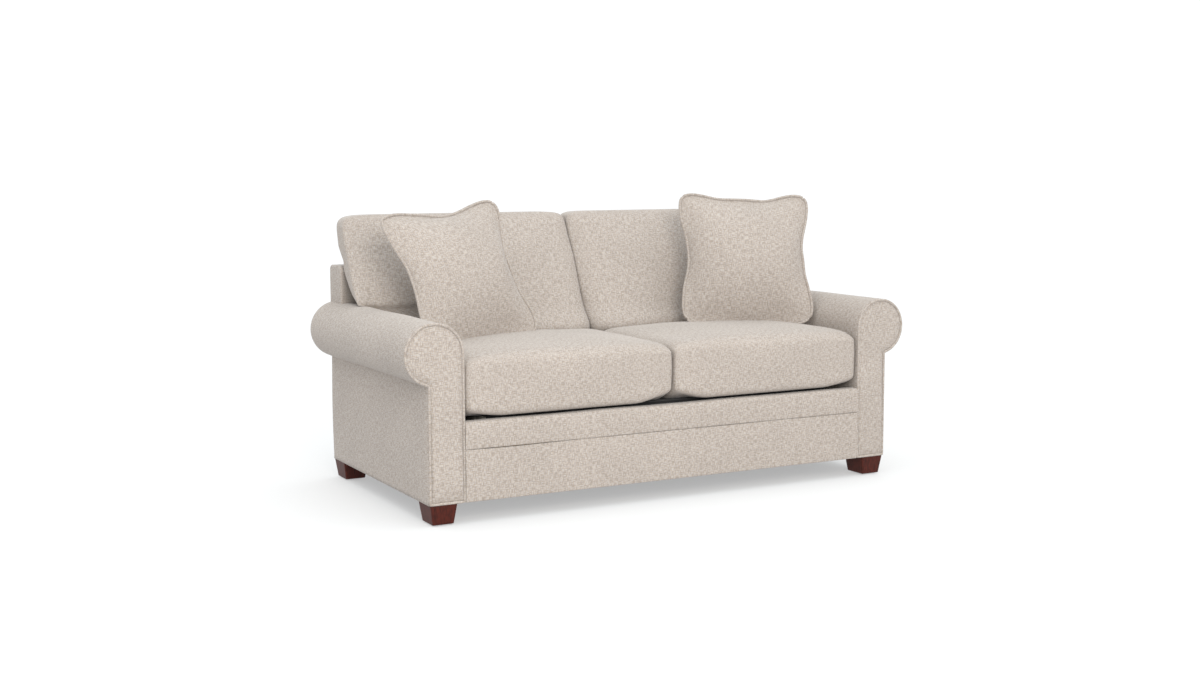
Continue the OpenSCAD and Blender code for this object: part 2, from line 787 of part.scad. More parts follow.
foot_leg_caps();
seat_cushion(-1);  // seat_cushion_left
seat_cushion(1);  // seat_cushion_right
pillow(-1);  // pillow_left
pillow(1);  // pillow_right
pillow_welt(-1);  // pillow_welt_left
pillow_welt(1);  // pillow_welt_right
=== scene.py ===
"""The look of a rolled-arm sofa bed: each piece is a surface worked out around its solid."""

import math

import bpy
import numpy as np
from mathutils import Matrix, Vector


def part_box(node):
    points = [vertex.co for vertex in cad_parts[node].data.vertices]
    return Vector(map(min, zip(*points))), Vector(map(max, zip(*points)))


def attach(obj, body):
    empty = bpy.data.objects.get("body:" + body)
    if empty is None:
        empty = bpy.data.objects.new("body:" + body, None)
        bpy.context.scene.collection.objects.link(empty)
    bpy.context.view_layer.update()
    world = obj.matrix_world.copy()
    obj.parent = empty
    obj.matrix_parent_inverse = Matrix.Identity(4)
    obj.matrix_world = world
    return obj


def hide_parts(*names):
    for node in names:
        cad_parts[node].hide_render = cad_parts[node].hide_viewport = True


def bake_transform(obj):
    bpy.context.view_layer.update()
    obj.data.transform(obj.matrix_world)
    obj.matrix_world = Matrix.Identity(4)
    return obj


bl_info = {
    "name": "Rolled-Arm Sofa Bed",
    "version": (1, 0, 0),
    "blender": (4, 5, 0),
    "location": "View3D > Sidebar > Sofa Bed",
    "description": "Upholstery, cushions, pillows, feet, mattress and studio of a sofa bed",
    "category": "Add Mesh",
}

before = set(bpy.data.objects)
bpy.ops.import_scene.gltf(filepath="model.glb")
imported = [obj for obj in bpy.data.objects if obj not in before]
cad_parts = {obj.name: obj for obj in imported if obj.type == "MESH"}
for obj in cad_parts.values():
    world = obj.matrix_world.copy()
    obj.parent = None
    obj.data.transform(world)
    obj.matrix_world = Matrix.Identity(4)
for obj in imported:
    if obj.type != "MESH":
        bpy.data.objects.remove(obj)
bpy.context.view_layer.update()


def span(node):
    """Lowest and highest corner of a solid as arrays, in metres."""
    low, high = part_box(node)
    return np.array(low), np.array(high)


# Main sizes, read from the solids
ARM_LO, ARM_HI = span("arm_cover_right")
BACK_LO, BACK_HI = span("back_cover")
IN_X = ARM_LO[0]
OUT_X = BACK_HI[0]
ROLL_R = (ARM_HI[0] - ARM_LO[0]) / 2
ROLL_X = IN_X + ROLL_R
ROLL_Z = ARM_HI[2] - ROLL_R
BASE_Z = ARM_LO[2]
REAR_Y = ARM_HI[1]
FRONT_Y = -REAR_Y
SIDES = {"left": -1, "right": 1}


def depth(u):
    """Turns a distance back from the arm fronts into Y."""
    return FRONT_Y + u


# Finishes

def colour(code):
    """Turns an sRGB hex colour into linear red, green, blue and alpha."""
    parts = [int(code[i:i + 2], 16) / 255 for i in (1, 3, 5)]
    return [c / 12.92 if c <= 0.04045 else ((c + 0.055) / 1.055) ** 2.4 for c in parts] + [1.0]


def add_node(tree, kind, inputs=None, output=0, **settings):
    """Adds a shader node and returns one of its outputs. An input takes a value or a socket.
    A setting goes on the node, and stops are a colour ramp's (place, hex colour) pairs."""
    node = tree.nodes.new("ShaderNode" + kind)
    stops = settings.pop("stops", ())
    for _ in stops[2:]:
        node.color_ramp.elements.new(0.5)
    for k, (place, code) in enumerate(stops):
        element = node.color_ramp.elements[k]
        element.position, element.color = place, colour(code)
    for key, value in settings.items():
        setattr(node, key, value)
    for key, value in (inputs or {}).items():
        if isinstance(value, bpy.types.NodeSocket):
            tree.links.new(value, node.inputs[key])
        else:
            node.inputs[key].default_value = value
    return node.outputs[output]


def new_material(name, coordinates="Object", **fixed):
    """A material with a Principled shader whose constant values are given by input name.
    Returns it with its node tree and the coordinates that its pattern is laid out by."""
    material = bpy.data.materials.new(name)
    material.use_nodes = True
    tree = material.node_tree
    for key, value in fixed.items():
        tree.nodes["Principled BSDF"].inputs[key.replace("_", " ")].default_value = value
    return material, tree, add_node(tree, "TexCoord", output=coordinates)


def lay_on(tree, height, strength, distance, base=None, **bump):
    """Lays a pattern on the surface: its base socket colours it, and its height socket raises
    it by distance times strength."""
    normal = add_node(tree, "Bump", {"Height": height, "Strength": strength,
                                     "Distance": distance, **bump})
    shader = tree.nodes["Principled BSDF"]
    tree.links.new(normal, shader.inputs["Normal"])
    if base is not None:
        tree.links.new(base, shader.inputs["Base Color"])


def grained(name, stretch, noise, relief, stops=None, **fixed):
    """A material with one grain. It is noise, stretched by the three scales, that raises the
    surface by relief (strength and distance) and colours it by its stops."""
    material, tree, place = new_material(name, **fixed)
    laid = add_node(tree, "Mapping", {"Vector": place, "Scale": stretch})
    grain = add_node(tree, "TexNoise", {"Vector": laid, "Scale": 1.0, **noise})
    base = add_node(tree, "ValToRGB", {"Fac": grain}, stops=stops) if stops else None
    lay_on(tree, grain, *relief, base)
    return material


def upholstery_weave(look):
    """Slubby linen-like weave: uneven yarns both ways, heathered from oat to pale greige,
    matt with a soft nap that lightens at grazing angles."""
    material, tree, place = new_material(
        "Slub weave upholstery fabric", "UV", Roughness=0.93, IOR=1.45, Sheen_Weight=0.16,
        Sheen_Roughness=0.45, Specular_IOR_Level=0.18)
    # Yarns are 1.2 mm apart, too fine to show, so the slubs that stand out are drawn 2.4 mm
    # thick and 16 mm long, across and down
    slubs = []
    for scale in ((62, 420, 1), (420, 62, 1)):
        laid = add_node(tree, "Mapping", {"Vector": place, "Scale": scale})
        slubs.append(add_node(tree, "TexNoise", {"Vector": laid, "Scale": 1.0, "Detail": 0.6,
                                                 "Roughness": 0.7}, noise_dimensions="2D"))
    heather = add_node(tree, "Math", {0: slubs[0], 1: slubs[1], 2: 0.2},
                       operation="SMOOTH_MIN")
    yarns = add_node(tree, "ValToRGB", {"Fac": heather},
                     stops=[(0.33, look.yarn_dark), (0.42, look.yarn_middle),
                            (0.51, look.yarn_light)])
    # Yarns are spun of warmer and cooler fibre, which shows as flecks 4 mm across
    fleck = add_node(tree, "TexNoise", {"Vector": place, "Scale": 260.0, "Detail": 1.0},
                     noise_dimensions="2D")
    fibre = add_node(tree, "ValToRGB", {"Fac": fleck},
                     stops=[(0.35, "#FFFAF3"), (0.65, "#F7FAFF")])
    spun = add_node(tree, "Mix", {"Factor": 1.0, 6: yarns, 7: fibre}, 2, data_type="RGBA",
                    blend_type="MULTIPLY")
    # Cloudy change of shade over 15 to 40 cm, as the yarns differ along their length
    cloud = add_node(tree, "TexNoise", {"Vector": place, "Scale": 4.0, "Detail": 2.0,
                                        "Roughness": 0.5}, noise_dimensions="2D")
    tint = add_node(tree, "MapRange", {"Value": cloud, "From Min": 0.3, "From Max": 0.7,
                                       "To Min": 0.97, "To Max": 1.03})
    shade = add_node(tree, "VectorMath", {0: spun, "Scale": tint}, operation="SCALE")
    lay_on(tree, heather, 0.35, 0.0012, shade)
    return material


def foot_wood(look):
    """Cherry-stained hardwood, sprayed with satin lacquer: dark red-brown with finer darker
    streaks up the grain and a soft gloss."""
    # Grain lines stand about 4 mm apart and run up the foot
    return grained("Dark cherry stained hardwood", (260, 260, 14),
                   {"Detail": 4.0, "Roughness": 0.6}, (0.15, 0.0006),
                   [(0.32, look.wood_dark), (0.68, look.wood_light)],
                   Roughness=0.45, IOR=1.5, Specular_IOR_Level=0.18)


def sawn_wood(look):
    """Raw hardwood boards of the inner frame: pale brown and matt, with level grain."""
    # Grain lines stand about 6 mm apart
    return grained("Sawn frame hardwood", (9, 9, 160),
                   {"Detail": 4.0, "Roughness": 0.6, "Distortion": 0.4}, (0.3, 0.001),
                   [(0.3, "#96703F"), (0.7, "#C9A678")], Roughness=0.72, IOR=1.5)


def frame_steel(look):
    """Rolled steel strip and tube with a dull grey oxide and oil finish, a little patchy."""
    material, tree, place = new_material("Oiled mechanism steel", Metallic=1.0)
    # Patches 2 to 5 cm across where the oil lies thicker
    patch = add_node(tree, "TexNoise", {"Vector": place, "Scale": 38.0, "Detail": 4.0,
                                        "Roughness": 0.6})
    oil = add_node(tree, "ValToRGB", {"Fac": patch}, stops=[(0.3, "#6A6C70"), (0.7, "#9A9CA0")])
    rough = add_node(tree, "MapRange", {"Value": patch, "To Min": 0.34, "To Max": 0.56})
    tree.links.new(rough, tree.nodes["Principled BSDF"].inputs["Roughness"])
    # Rolling marks about 1.7 mm apart along the strip
    laid = add_node(tree, "Mapping", {"Vector": place, "Scale": (600, 12, 600)})
    marks = add_node(tree, "TexNoise", {"Vector": laid, "Scale": 1.0})
    lay_on(tree, marks, 0.12, 0.0005, oil)
    return material


def platform_cloth(look):
    """Black woven polypropylene: a plain weave of flat tapes with a faint shine."""
    material, tree, place = new_material("Black woven platform cloth", Roughness=0.75,
                                         IOR=1.49, Sheen_Weight=0.1)
    # Tapes are 2.5 mm wide, drawn as two crossing waves with a period of two tapes
    waves = [add_node(tree, "TexWave", {"Vector": place, "Scale": 64.0, "Distortion": 0.3},
                      "Fac", wave_type="BANDS", bands_direction=way) for way in "XY"]
    cross = add_node(tree, "Math", {0: waves[0], 1: waves[1]}, operation="MULTIPLY")
    tapes = add_node(tree, "ValToRGB", {"Fac": cross},
                     stops=[(0.1, "#0B0B0C"), (0.9, "#232325")])
    lay_on(tree, cross, 0.4, 0.0008, tapes)
    return material


def glide_plastic(look):
    """Moulded black polyethylene with a fine spark-eroded grain, slightly shiny."""
    return grained("Moulded black polyethylene", (900, 900, 900), {}, (0.2, 0.0004),
                   Roughness=0.48, IOR=1.51, Base_Color=colour("#141416"))


def mattress_ticking(look):
    """Off-white woven ticking with a small damask figure, quilted to the foam in diamonds, with
    painted shade along the stitch lines.
    """
    material, tree, place = new_material("Quilted damask ticking", "UV", Roughness=0.8,
                                         IOR=1.5, Sheen_Weight=0.12)
    # Damask leaves about 30 mm across
    leaves = add_node(tree, "TexVoronoi", {"Vector": place, "Scale": 34.0},
                      voronoi_dimensions="2D", feature="SMOOTH_F1")
    damask = add_node(tree, "ValToRGB", {"Fac": leaves},
                      stops=[(0.2, "#AFABA1"), (0.6, "#BDB9B0")])
    figure = add_node(tree, "Bump", {"Height": leaves, "Strength": 0.2, "Distance": 0.001})
    # Stitch lines stand 78 mm apart both ways, and the cloth rises 5 mm between them
    lines = []
    for turn in (math.pi / 4, -math.pi / 4):
        laid = add_node(tree, "Mapping", {"Vector": place, "Rotation": (0, 0, turn)})
        lines.append(add_node(tree, "TexWave", {"Vector": laid, "Scale": 4.03}, "Fac",
                              wave_profile="TRI"))
    nearer = add_node(tree, "Math", {0: lines[0], 1: lines[1]}, operation="MINIMUM")
    puff = add_node(tree, "MapRange", {"Value": nearer, "From Max": 0.5},
                    interpolation_type="SMOOTHERSTEP")
    # Painted shade: the colour darkens to 82 % in a band along each stitch line, where the
    # quilted cloth dips
    stitch_groove_shade = add_node(tree, "MapRange", {"Value": nearer, "From Max": 0.16, "To Min": 0.82})
    shade = add_node(tree, "VectorMath", {0: damask, "Scale": stitch_groove_shade}, operation="SCALE")
    lay_on(tree, puff, 0.6, 0.005, shade, Normal=figure)
    return material


def studio_floor(look):
    """Pale acrylic studio floor, lit evenly from below, with the faintest roller texture."""
    return grained("Pale backlit acrylic floor", (60, 60, 60), {}, (0.02, 0.001),
                   Roughness=0.9, Base_Color=colour("#A6A6A6"), Emission_Strength=0.4,
                   Emission_Color=colour("#FFFFFF"), Specular_IOR_Level=0.1)


MATERIALS = {
    "upholstery": upholstery_weave, "foot_wood": foot_wood, "hardwood": sawn_wood,
    "steel": frame_steel, "black_cloth": platform_cloth, "black_plastic": glide_plastic,
    "ticking": mattress_ticking, "floor": studio_floor}
finished = {}


def material_of(slot):
    """The material of a slot, made the first time it is asked for."""
    if slot not in finished:
        finished[slot] = MATERIALS[slot](bpy.context.scene.sofa_look)
    return finished[slot]


# Shapes

def ease(t):
    """Smooth step: three t squared less two t cubed, between 0 and 1."""
    t = np.clip(t, 0, 1)
    return t * t * (3 - 2 * t)


def ripple(points, size, seed):
    """Soft unevenness from about -1 to 1: sum of 20 sine waves of random direction and of
    wavelengths near size, at each point."""
    rng = np.random.default_rng(seed)
    ways = rng.normal(size=(20, 3))
    ways /= np.linalg.norm(ways, axis=1)[:, None]
    ways *= (2 * np.pi / size) * rng.uniform(0.6, 1.5, (20, 1))
    start = rng.uniform(0, 2 * np.pi, 20)
    return np.sin(points @ ways.T + start).sum(axis=-1) / 6.0


def make_piece(name, points, faces, uv, slot, body, *nodes):
    """Puts points, faces and the UV of each face corner into a mesh object that rides on body
    and stands for the solids named last."""
    mesh = bpy.data.meshes.new(name)
    mesh.from_pydata(points.reshape(-1, 3).tolist(), [], [list(f) for f in faces])
    mesh.uv_layers.new(name="cloth")
    mesh.uv_layers["cloth"].data.foreach_set("uv", np.asarray(uv, float).ravel())
    mesh.polygons.foreach_set("use_smooth", np.ones(len(mesh.polygons), bool))
    mesh.materials.append(material_of(slot))
    mesh.update()
    piece = bpy.data.objects.new(name, mesh)
    bpy.context.scene.collection.objects.link(piece)
    if body is not None:
        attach(piece, body)
    if nodes:
        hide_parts(*nodes)
    return piece


def pad(name, points, faces, uv, fill, body, *nodes, slot="upholstery"):
    """Makes a padded piece. Its fill, from 0 to 1, is not used."""
    make_piece(name, points, faces, uv, slot, body, *nodes)


def grid_faces(rows, columns, wrap=False):
    """Corner numbers of the four-sided faces of a grid, and the same for a UV grid that has
    one more column where the grid closes on itself."""
    wide = columns + 1 if wrap else columns
    i, j = np.meshgrid(np.arange(rows - 1), np.arange(wide - 1), indexing="ij")
    following = (j + 1) % columns
    faces = np.stack([i * columns + j, i * columns + following,
                      (i + 1) * columns + following, (i + 1) * columns + j], -1)
    corners = np.stack([i * wide + j, i * wide + j + 1,
                        (i + 1) * wide + j + 1, (i + 1) * wide + j], -1)
    return faces.reshape(-1, 4), corners.reshape(-1, 4)


def flipped(faces, uv):
    """The same faces seen from the other side."""
    return faces[:, ::-1], uv[:, ::-1]


def run_length(line, closed=False):
    """Distance along a line of points, from its first point, and back to it where closed."""
    if closed:
        line = np.vstack([line, line[:1]])
    steps = np.linalg.norm(np.diff(line, axis=0), axis=1)
    return np.concatenate([[0], np.cumsum(steps)])


def spread_uv(u, v, corners):
    """UV of the corners of a grid with rows at u and columns at v."""
    return np.stack(np.meshgrid(u, v, indexing="ij"), -1).reshape(-1, 2)[corners]


def quarter(count):
    """Angles in even steps from nought to a right angle."""
    return np.linspace(0, np.pi / 2, count)


def resample(line, spacing):
    """The same line with points about spacing apart, its corners kept nearly sharp."""
    along = run_length(line)
    count = max(2, int(round(along[-1] / spacing)))
    wanted = np.linspace(0, along[-1], count + 1)
    return np.stack([np.interp(wanted, along, line[:, k]) for k in range(line.shape[1])], -1)


def line_normals(line):
    """Unit normals of a closed flat outline that runs anticlockwise, pointing outwards."""
    ahead = np.roll(line, -1, axis=0) - np.roll(line, 1, axis=0)
    ahead /= np.linalg.norm(ahead, axis=1)[:, None]
    return np.stack([ahead[:, 1], -ahead[:, 0]], -1)


def box_lattice(half, counts):
    """Points spread over the faces of a box from -1 to 1, closer together towards its edges
    (sine of an even spread), with four-sided faces, their UV in metres and their side."""
    axes = [np.sin(np.linspace(-np.pi / 2, np.pi / 2, n + 1)) for n in counts]
    number = -np.ones([n + 1 for n in counts], int)
    shell = np.ones_like(number, bool)
    shell[1:-1, 1:-1, 1:-1] = False
    number[shell] = np.arange(shell.sum())
    spots = np.argwhere(shell)
    points = np.stack([axes[k][spots[:, k]] for k in range(3)], -1)
    faces, uv, side = [], [], []
    for k, flat in enumerate(([1, 2], [0, 2], [0, 1])):
        for end in (0, -1):
            sheet = np.take(number, end, axis=k)
            quad = np.stack([sheet[:-1, :-1], sheet[1:, :-1], sheet[1:, 1:], sheet[:-1, 1:]],
                            -1).reshape(-1, 4)
            # The corners run so that every face looks outwards
            if (end == -1) != (k != 1):
                quad = quad[:, ::-1]
            faces.append(quad)
            uv.append(points[quad][..., flat] * half[flat])
            side.append(np.full(len(quad), 2 * k + (end == -1)))
    return points, np.concatenate(faces), np.concatenate(uv), np.concatenate(side)


def soft_box(points, half, round_edge, power, round_low=None):
    """Rounds a -1..1 box lattice into a cushion. In plan each point is drawn in along its ray
    to a superellipse of the given power. At the edges the distances from the side and from the
    face are put on a quarter circle of radius round_edge, or round_low under the middle.
    Returns plan places from -1 to 1, the distance in from the side, and the height."""
    if round_low is not None:
        round_edge = np.where(points[:, 2] > 0, round_edge, round_low)
    plan = points[:, :2]
    reach = np.abs(plan).max(axis=1)
    norm = (np.abs(plan) ** power).sum(axis=1) ** (1 / power)
    squircle = plan * np.where(norm > 1e-9, reach / np.maximum(norm, 1e-9), 1)[:, None]
    small = min(half[0], half[1])
    inset = (1 - reach) * small
    drop = (1 - np.abs(points[:, 2])) * half[2]
    a = np.clip(round_edge - inset, 0, None)
    b = np.clip(round_edge - drop, 0, None)
    both = (a > 0) & (b > 0)
    scale = np.where(both, np.maximum(a, b) / np.maximum(np.hypot(a, b), 1e-9), 1)
    inset = np.where(both, round_edge - a * scale, inset)
    drop = np.where(both, round_edge - b * scale, drop)
    direction = squircle / np.maximum(reach, 1e-9)[:, None]
    across = direction * (1 - inset / small)[:, None]
    height = np.sign(points[:, 2]) * (1 - drop / half[2])
    return across, inset, height


def soft_lattice(half, counts, *rounding):
    """A box lattice rounded by soft_box: plan places, distance in from the side, height,
    faces and UV."""
    points, faces, uv, _ = box_lattice(half, counts)
    return *soft_box(points, half, *rounding), faces, uv


def tube_along(path, radius, sides, third):
    """A closed cord along a closed path: at each point a ring of the given radius is laid
    across the path, between its sideways direction and the given third direction."""
    ahead = np.roll(path, -1, axis=0) - np.roll(path, 1, axis=0)
    ahead /= np.linalg.norm(ahead, axis=1)[:, None]
    third = np.broadcast_to(np.asarray(third, float), path.shape)
    outward = np.cross(ahead, third)
    outward /= np.linalg.norm(outward, axis=1)[:, None]
    turn = np.linspace(0, 2 * np.pi, sides, endpoint=False)
    rings = (path[:, None] + radius * (np.cos(turn)[None, :, None] * outward[:, None]
             + np.sin(turn)[None, :, None] * third[:, None]))
    faces, corners = grid_faces(len(path) + 1, sides, wrap=True)
    around = np.arange(sides + 1) * 2 * np.pi * radius / sides
    uv = spread_uv(run_length(path, True), around, corners)
    return rings, *flipped(faces % (len(path) * sides), uv)


def closed_strip(name, node, x, section, points):
    """A padded strip: a closed section, moved a little from place to place, at each x. Each
    flat end is a fan round the section's middle. UV is x and the length round the section."""
    rows, columns = points.shape[:2]
    faces, corners = grid_faces(rows, columns, wrap=True)
    faces, uv = flipped(faces, spread_uv(x, run_length(section, True), corners))
    ring = np.arange(columns)
    beside = (ring + 1) % columns
    middle = np.full(columns, columns)
    fans = np.concatenate([np.stack([ring, beside, middle], -1),
                           np.stack([beside, ring, middle], -1) + columns + 1])
    ends = np.vstack([points[0], points[0].mean(axis=0), points[-1], points[-1].mean(axis=0)])
    pad(name, np.vstack([points.reshape(-1, 3), ends]),
        faces.tolist() + (fans + rows * columns).tolist(),
        np.concatenate([uv.reshape(-1, 2), ends[fans][..., 1:].reshape(-1, 2)]),
        0.9, "sofa_frame", node)


def blow_up(points, faces, frames=19, pressure=2.0):
    """Blows a closed soft shape up as cloth without gravity, for some frames under an even
    pressure, and returns where its points go."""
    mesh = bpy.data.meshes.new("soft_shape")
    mesh.from_pydata(points.tolist(), [], faces.tolist())
    soft = bpy.data.objects.new("soft_shape", mesh)
    scene = bpy.context.scene
    scene.collection.objects.link(soft)
    cloth = soft.modifiers.new("blow_up", "CLOTH")
    for key, value in dict(quality=5, mass=0.3, tension_stiffness=80,
                           compression_stiffness=80, shear_stiffness=27,
                           bending_stiffness=0.5, air_damping=2, use_pressure=True,
                           uniform_pressure_force=pressure).items():
        setattr(cloth.settings, key, value)
    cloth.settings.effector_weights.gravity = 0
    cloth.point_cache.frame_start, cloth.point_cache.frame_end = 1, frames
    for number in range(1, frames + 1):
        scene.frame_set(number)
    drawn = soft.evaluated_get(bpy.context.evaluated_depsgraph_get()).to_mesh()
    moved = np.empty(len(points) * 3)
    drawn.vertices.foreach_get("co", moved)
    bpy.data.objects.remove(soft)
    bpy.data.meshes.remove(mesh)
    scene.frame_set(1)
    return moved.reshape(-1, 3)


def arm_outline(inset, spacing):
    """Section of an arm in X and Z, run anticlockwise from the outer bottom: up the outer wall
    to the roll, round the roll to its inner side, down the inner wall, and back underneath."""
    r = ROLL_R - inset
    outer = OUT_X - inset
    low = BASE_Z + inset
    # A small fillet joins the wall and the roll; it touches both
    soft = 0.005 + inset
    centre_x = outer + soft
    rise = math.sqrt((r + soft) ** 2 - (centre_x - ROLL_X) ** 2)
    from_roll = math.atan2(rise, ROLL_X - centre_x)
    turn = np.linspace(math.pi, from_roll, 9)
    fillet = np.stack([centre_x + soft * np.cos(turn), ROLL_Z - rise + soft * np.sin(turn)], -1)
    turn = np.linspace(from_roll - math.pi, math.pi, 90)
    roll = np.stack([ROLL_X + r * np.cos(turn), ROLL_Z + r * np.sin(turn)], -1)
    inner = [[IN_X + inset, low]]
    pieces = [resample(np.array([[outer, low], fillet[0]]), spacing), fillet,
              resample(roll, spacing), resample(np.vstack([roll[-1:], inner]), spacing),
              resample(np.array([inner[0], [outer, low]]), spacing)]
    return np.vstack([p[:-1] for p in pieces])


# Point inside an arm section from which the whole outline is in sight
ARM_HEART = np.array([IN_X + 0.5 * (OUT_X - IN_X), ROLL_Z - 0.072])


def arm_end_cap(outline, y, crown, side, spread=0.05):
    """Padded end of an arm: the outline shrunk towards one inner point in even steps, and
    raised by crown times a smooth rise over the first spread metres from its edge."""
    steps = np.concatenate([[0, 0.012, 0.03, 0.055, 0.09], np.linspace(0.14, 0.9996, 13)])
    rings = outline[None] * (1 - steps)[:, None, None] + ARM_HEART * steps[:, None, None]
    gap = np.linalg.norm(rings - outline[None], axis=-1)
    rise = crown * np.sin(np.pi / 2 * np.clip(gap / spread, 0, 1))
    return np.stack([side * rings[..., 0], y - rise, rings[..., 1]], -1)


# Sizes and looks that a user would change

def amount(name, default, description, unit="NONE"):
    """A number that a user can change."""
    return bpy.props.FloatProperty(name=name, description=description, default=default,
                                   unit=unit)


def metres(*words):
    """A length in metres."""
    return amount(*words, unit="LENGTH")


def hex_colour(name, default, description):
    """A colour as an sRGB hex value."""
    return bpy.props.StringProperty(name=name, description=description, default=default)


class SofaSizes(bpy.types.PropertyGroup):
    """Sizes of the soft shapes, in metres."""
    welt: metres("Arm welt", 0.0046, "Radius of the welt round the arm fronts")
    panel_crown: metres("Arm panel crown", 0.007, "How far the arm front panel is padded out")
    seat_edge: metres("Seat edge", 0.036, "Radius of the upper edges of a seat cushion")
    back_edge: metres("Back edge", 0.036, "Radius of the edges of a back cushion")
    pillow_welt: metres("Pillow welt", 0.0052, "Radius of the welt round a throw pillow")
    crease: metres("Wrinkle height", 0.0012, "Height of the upholstery's soft unevenness")


class SofaLook(bpy.types.PropertyGroup):
    """Colours, as sRGB hex values, and the strength of the lights."""
    yarn_dark: hex_colour("Dark yarn", "#90877F", "Colour of the darkest slubs")
    yarn_middle: hex_colour("Middle yarn", "#9D948E", "Colour of most of the yarn")
    yarn_light: hex_colour("Light yarn", "#AAA39C", "Colour of the lightest slubs")
    wood_dark: hex_colour("Dark grain", "#2A0F09", "Colour of the dark grain of the feet")
    wood_light: hex_colour("Light grain", "#4E1D13", "Colour of the light grain of the feet")
    top_light: amount("Top light", 1.12, "Strength of the even light from above")
    front_power: amount("Front light", 223, "Watts of the large soft light in front")
    surround: amount("Surround", 1.32, "Strength of the even white light all round")


# Operators

class SofaArms(bpy.types.Operator):
    """Upholsters both arms: the cover with its roll, the padded front panel and its welt"""
    bl_idname = "sofa_bed.arms"
    bl_label = "Arms"

    def execute(self, context):
        for name, side in SIDES.items():
            self.cover(name, side, context.scene.sofa_sizes)
            self.front(name, side, context.scene.sofa_sizes)
        return {"FINISHED"}

    def cover(self, name, side, sizes):
        """The arm section carried from behind the welt to the back. Its first and last rows
        are drawn in along a quarter circle of radius edge, and the walls are slightly
        uneven."""
        outline = arm_outline(0, 0.011)
        normal = line_normals(outline)
        edge = 0.006
        start, stop = depth(edge), REAR_Y - edge
        further, inward = edge * (1 - np.cos(quarter(5))), edge * (1 - np.sin(quarter(5)))
        y = np.concatenate([start + further, np.linspace(start, stop, 62)[2:-2],
                            (stop - further)[::-1]])
        pull = np.concatenate([inward, np.zeros(len(y) - 2 * len(inward)), inward[::-1]])
        sections = outline[None] - normal[None] * pull[:, None, None]
        points = np.stack([sections[..., 0], np.broadcast_to(y[:, None], sections.shape[:2]),
                           sections[..., 1]], -1)
        lift = sizes.crease * ripple(points, 0.32, 3 + side)
        # The outer wall is a stretched panel, 3 mm fuller in its middle
        height = (points[..., 2] - BASE_Z) / (ROLL_Z - ROLL_R - BASE_Z)
        wall = (points[..., 0] > OUT_X - 0.002) & (height < 1)
        lift = lift + np.where(wall, 0.003 * np.sin(np.pi * np.clip(height, 0, 1)), 0)
        lift = lift * np.clip((y - start) / 0.03, 0, 1)[:, None]
        lift = np.where(points[..., 2] < BASE_Z + 0.001, 0, lift)
        points[..., 0] += normal[None, :, 0] * lift
        points[..., 2] += normal[None, :, 1] * lift
        points[..., 0] *= side
        faces, corners = grid_faces(*points.shape[:2], wrap=True)
        uv = spread_uv(run_length(np.stack([y, pull], -1)), run_length(outline, True), corners)
        points = points.reshape(-1, 3)
        cap = arm_end_cap(outline - normal * edge, 0, 0.003, side)
        cap_faces, _ = grid_faces(*cap.shape[:2], wrap=True)
        for place, way in ((start, 1), (stop, -1)):
            rings = (cap * [1, way, 1] + [0, place, 0]).reshape(-1, 3)
            ring_faces = cap_faces[:, ::-way]
            faces = np.vstack([faces, ring_faces + len(points)])
            uv = np.vstack([uv, rings[ring_faces][..., [0, 2]]])
            points = np.vstack([points, rings])
        if side > 0:
            faces, uv = flipped(faces, uv)
        pad("arm_upholstery_" + name, points, faces, uv, 0.9, "sofa_frame",
            "arm_cover_" + name)

    def front(self, name, side, sizes):
        """The padded front panel inside a welt: the section shrunk by the welt, crowned from
        its edge, with a side wall behind it."""
        r = sizes.welt
        cap = arm_end_cap(arm_outline(1.6 * r, 0.009), depth(r * 1.1), sizes.panel_crown, side,
                          0.045)
        cap[..., 1] -= 0.4 * sizes.crease * ripple(cap, 0.2, 9)
        rear = cap[:1].copy()
        rear[..., 1] = depth(0.014)
        rings = np.concatenate([rear, cap])
        faces, _ = grid_faces(*rings.shape[:2], wrap=True)
        points = rings.reshape(-1, 3)
        uv = points[faces][..., [0, 2]]
        if side < 0:
            faces, uv = flipped(faces, uv)
        pad("arm_front_" + name, points, faces, uv, 0.9, "sofa_frame", "arm_panel_" + name)
        path = arm_outline(r * 0.9, 0.007)
        path = np.stack([side * path[:, 0], np.full(len(path), depth(r)), path[:, 1]], -1)
        make_piece("arm_front_welt_" + name, *tube_along(path, r, 10, (0, -1, 0)),
                   "upholstery", "sofa_frame", "arm_welt_" + name)


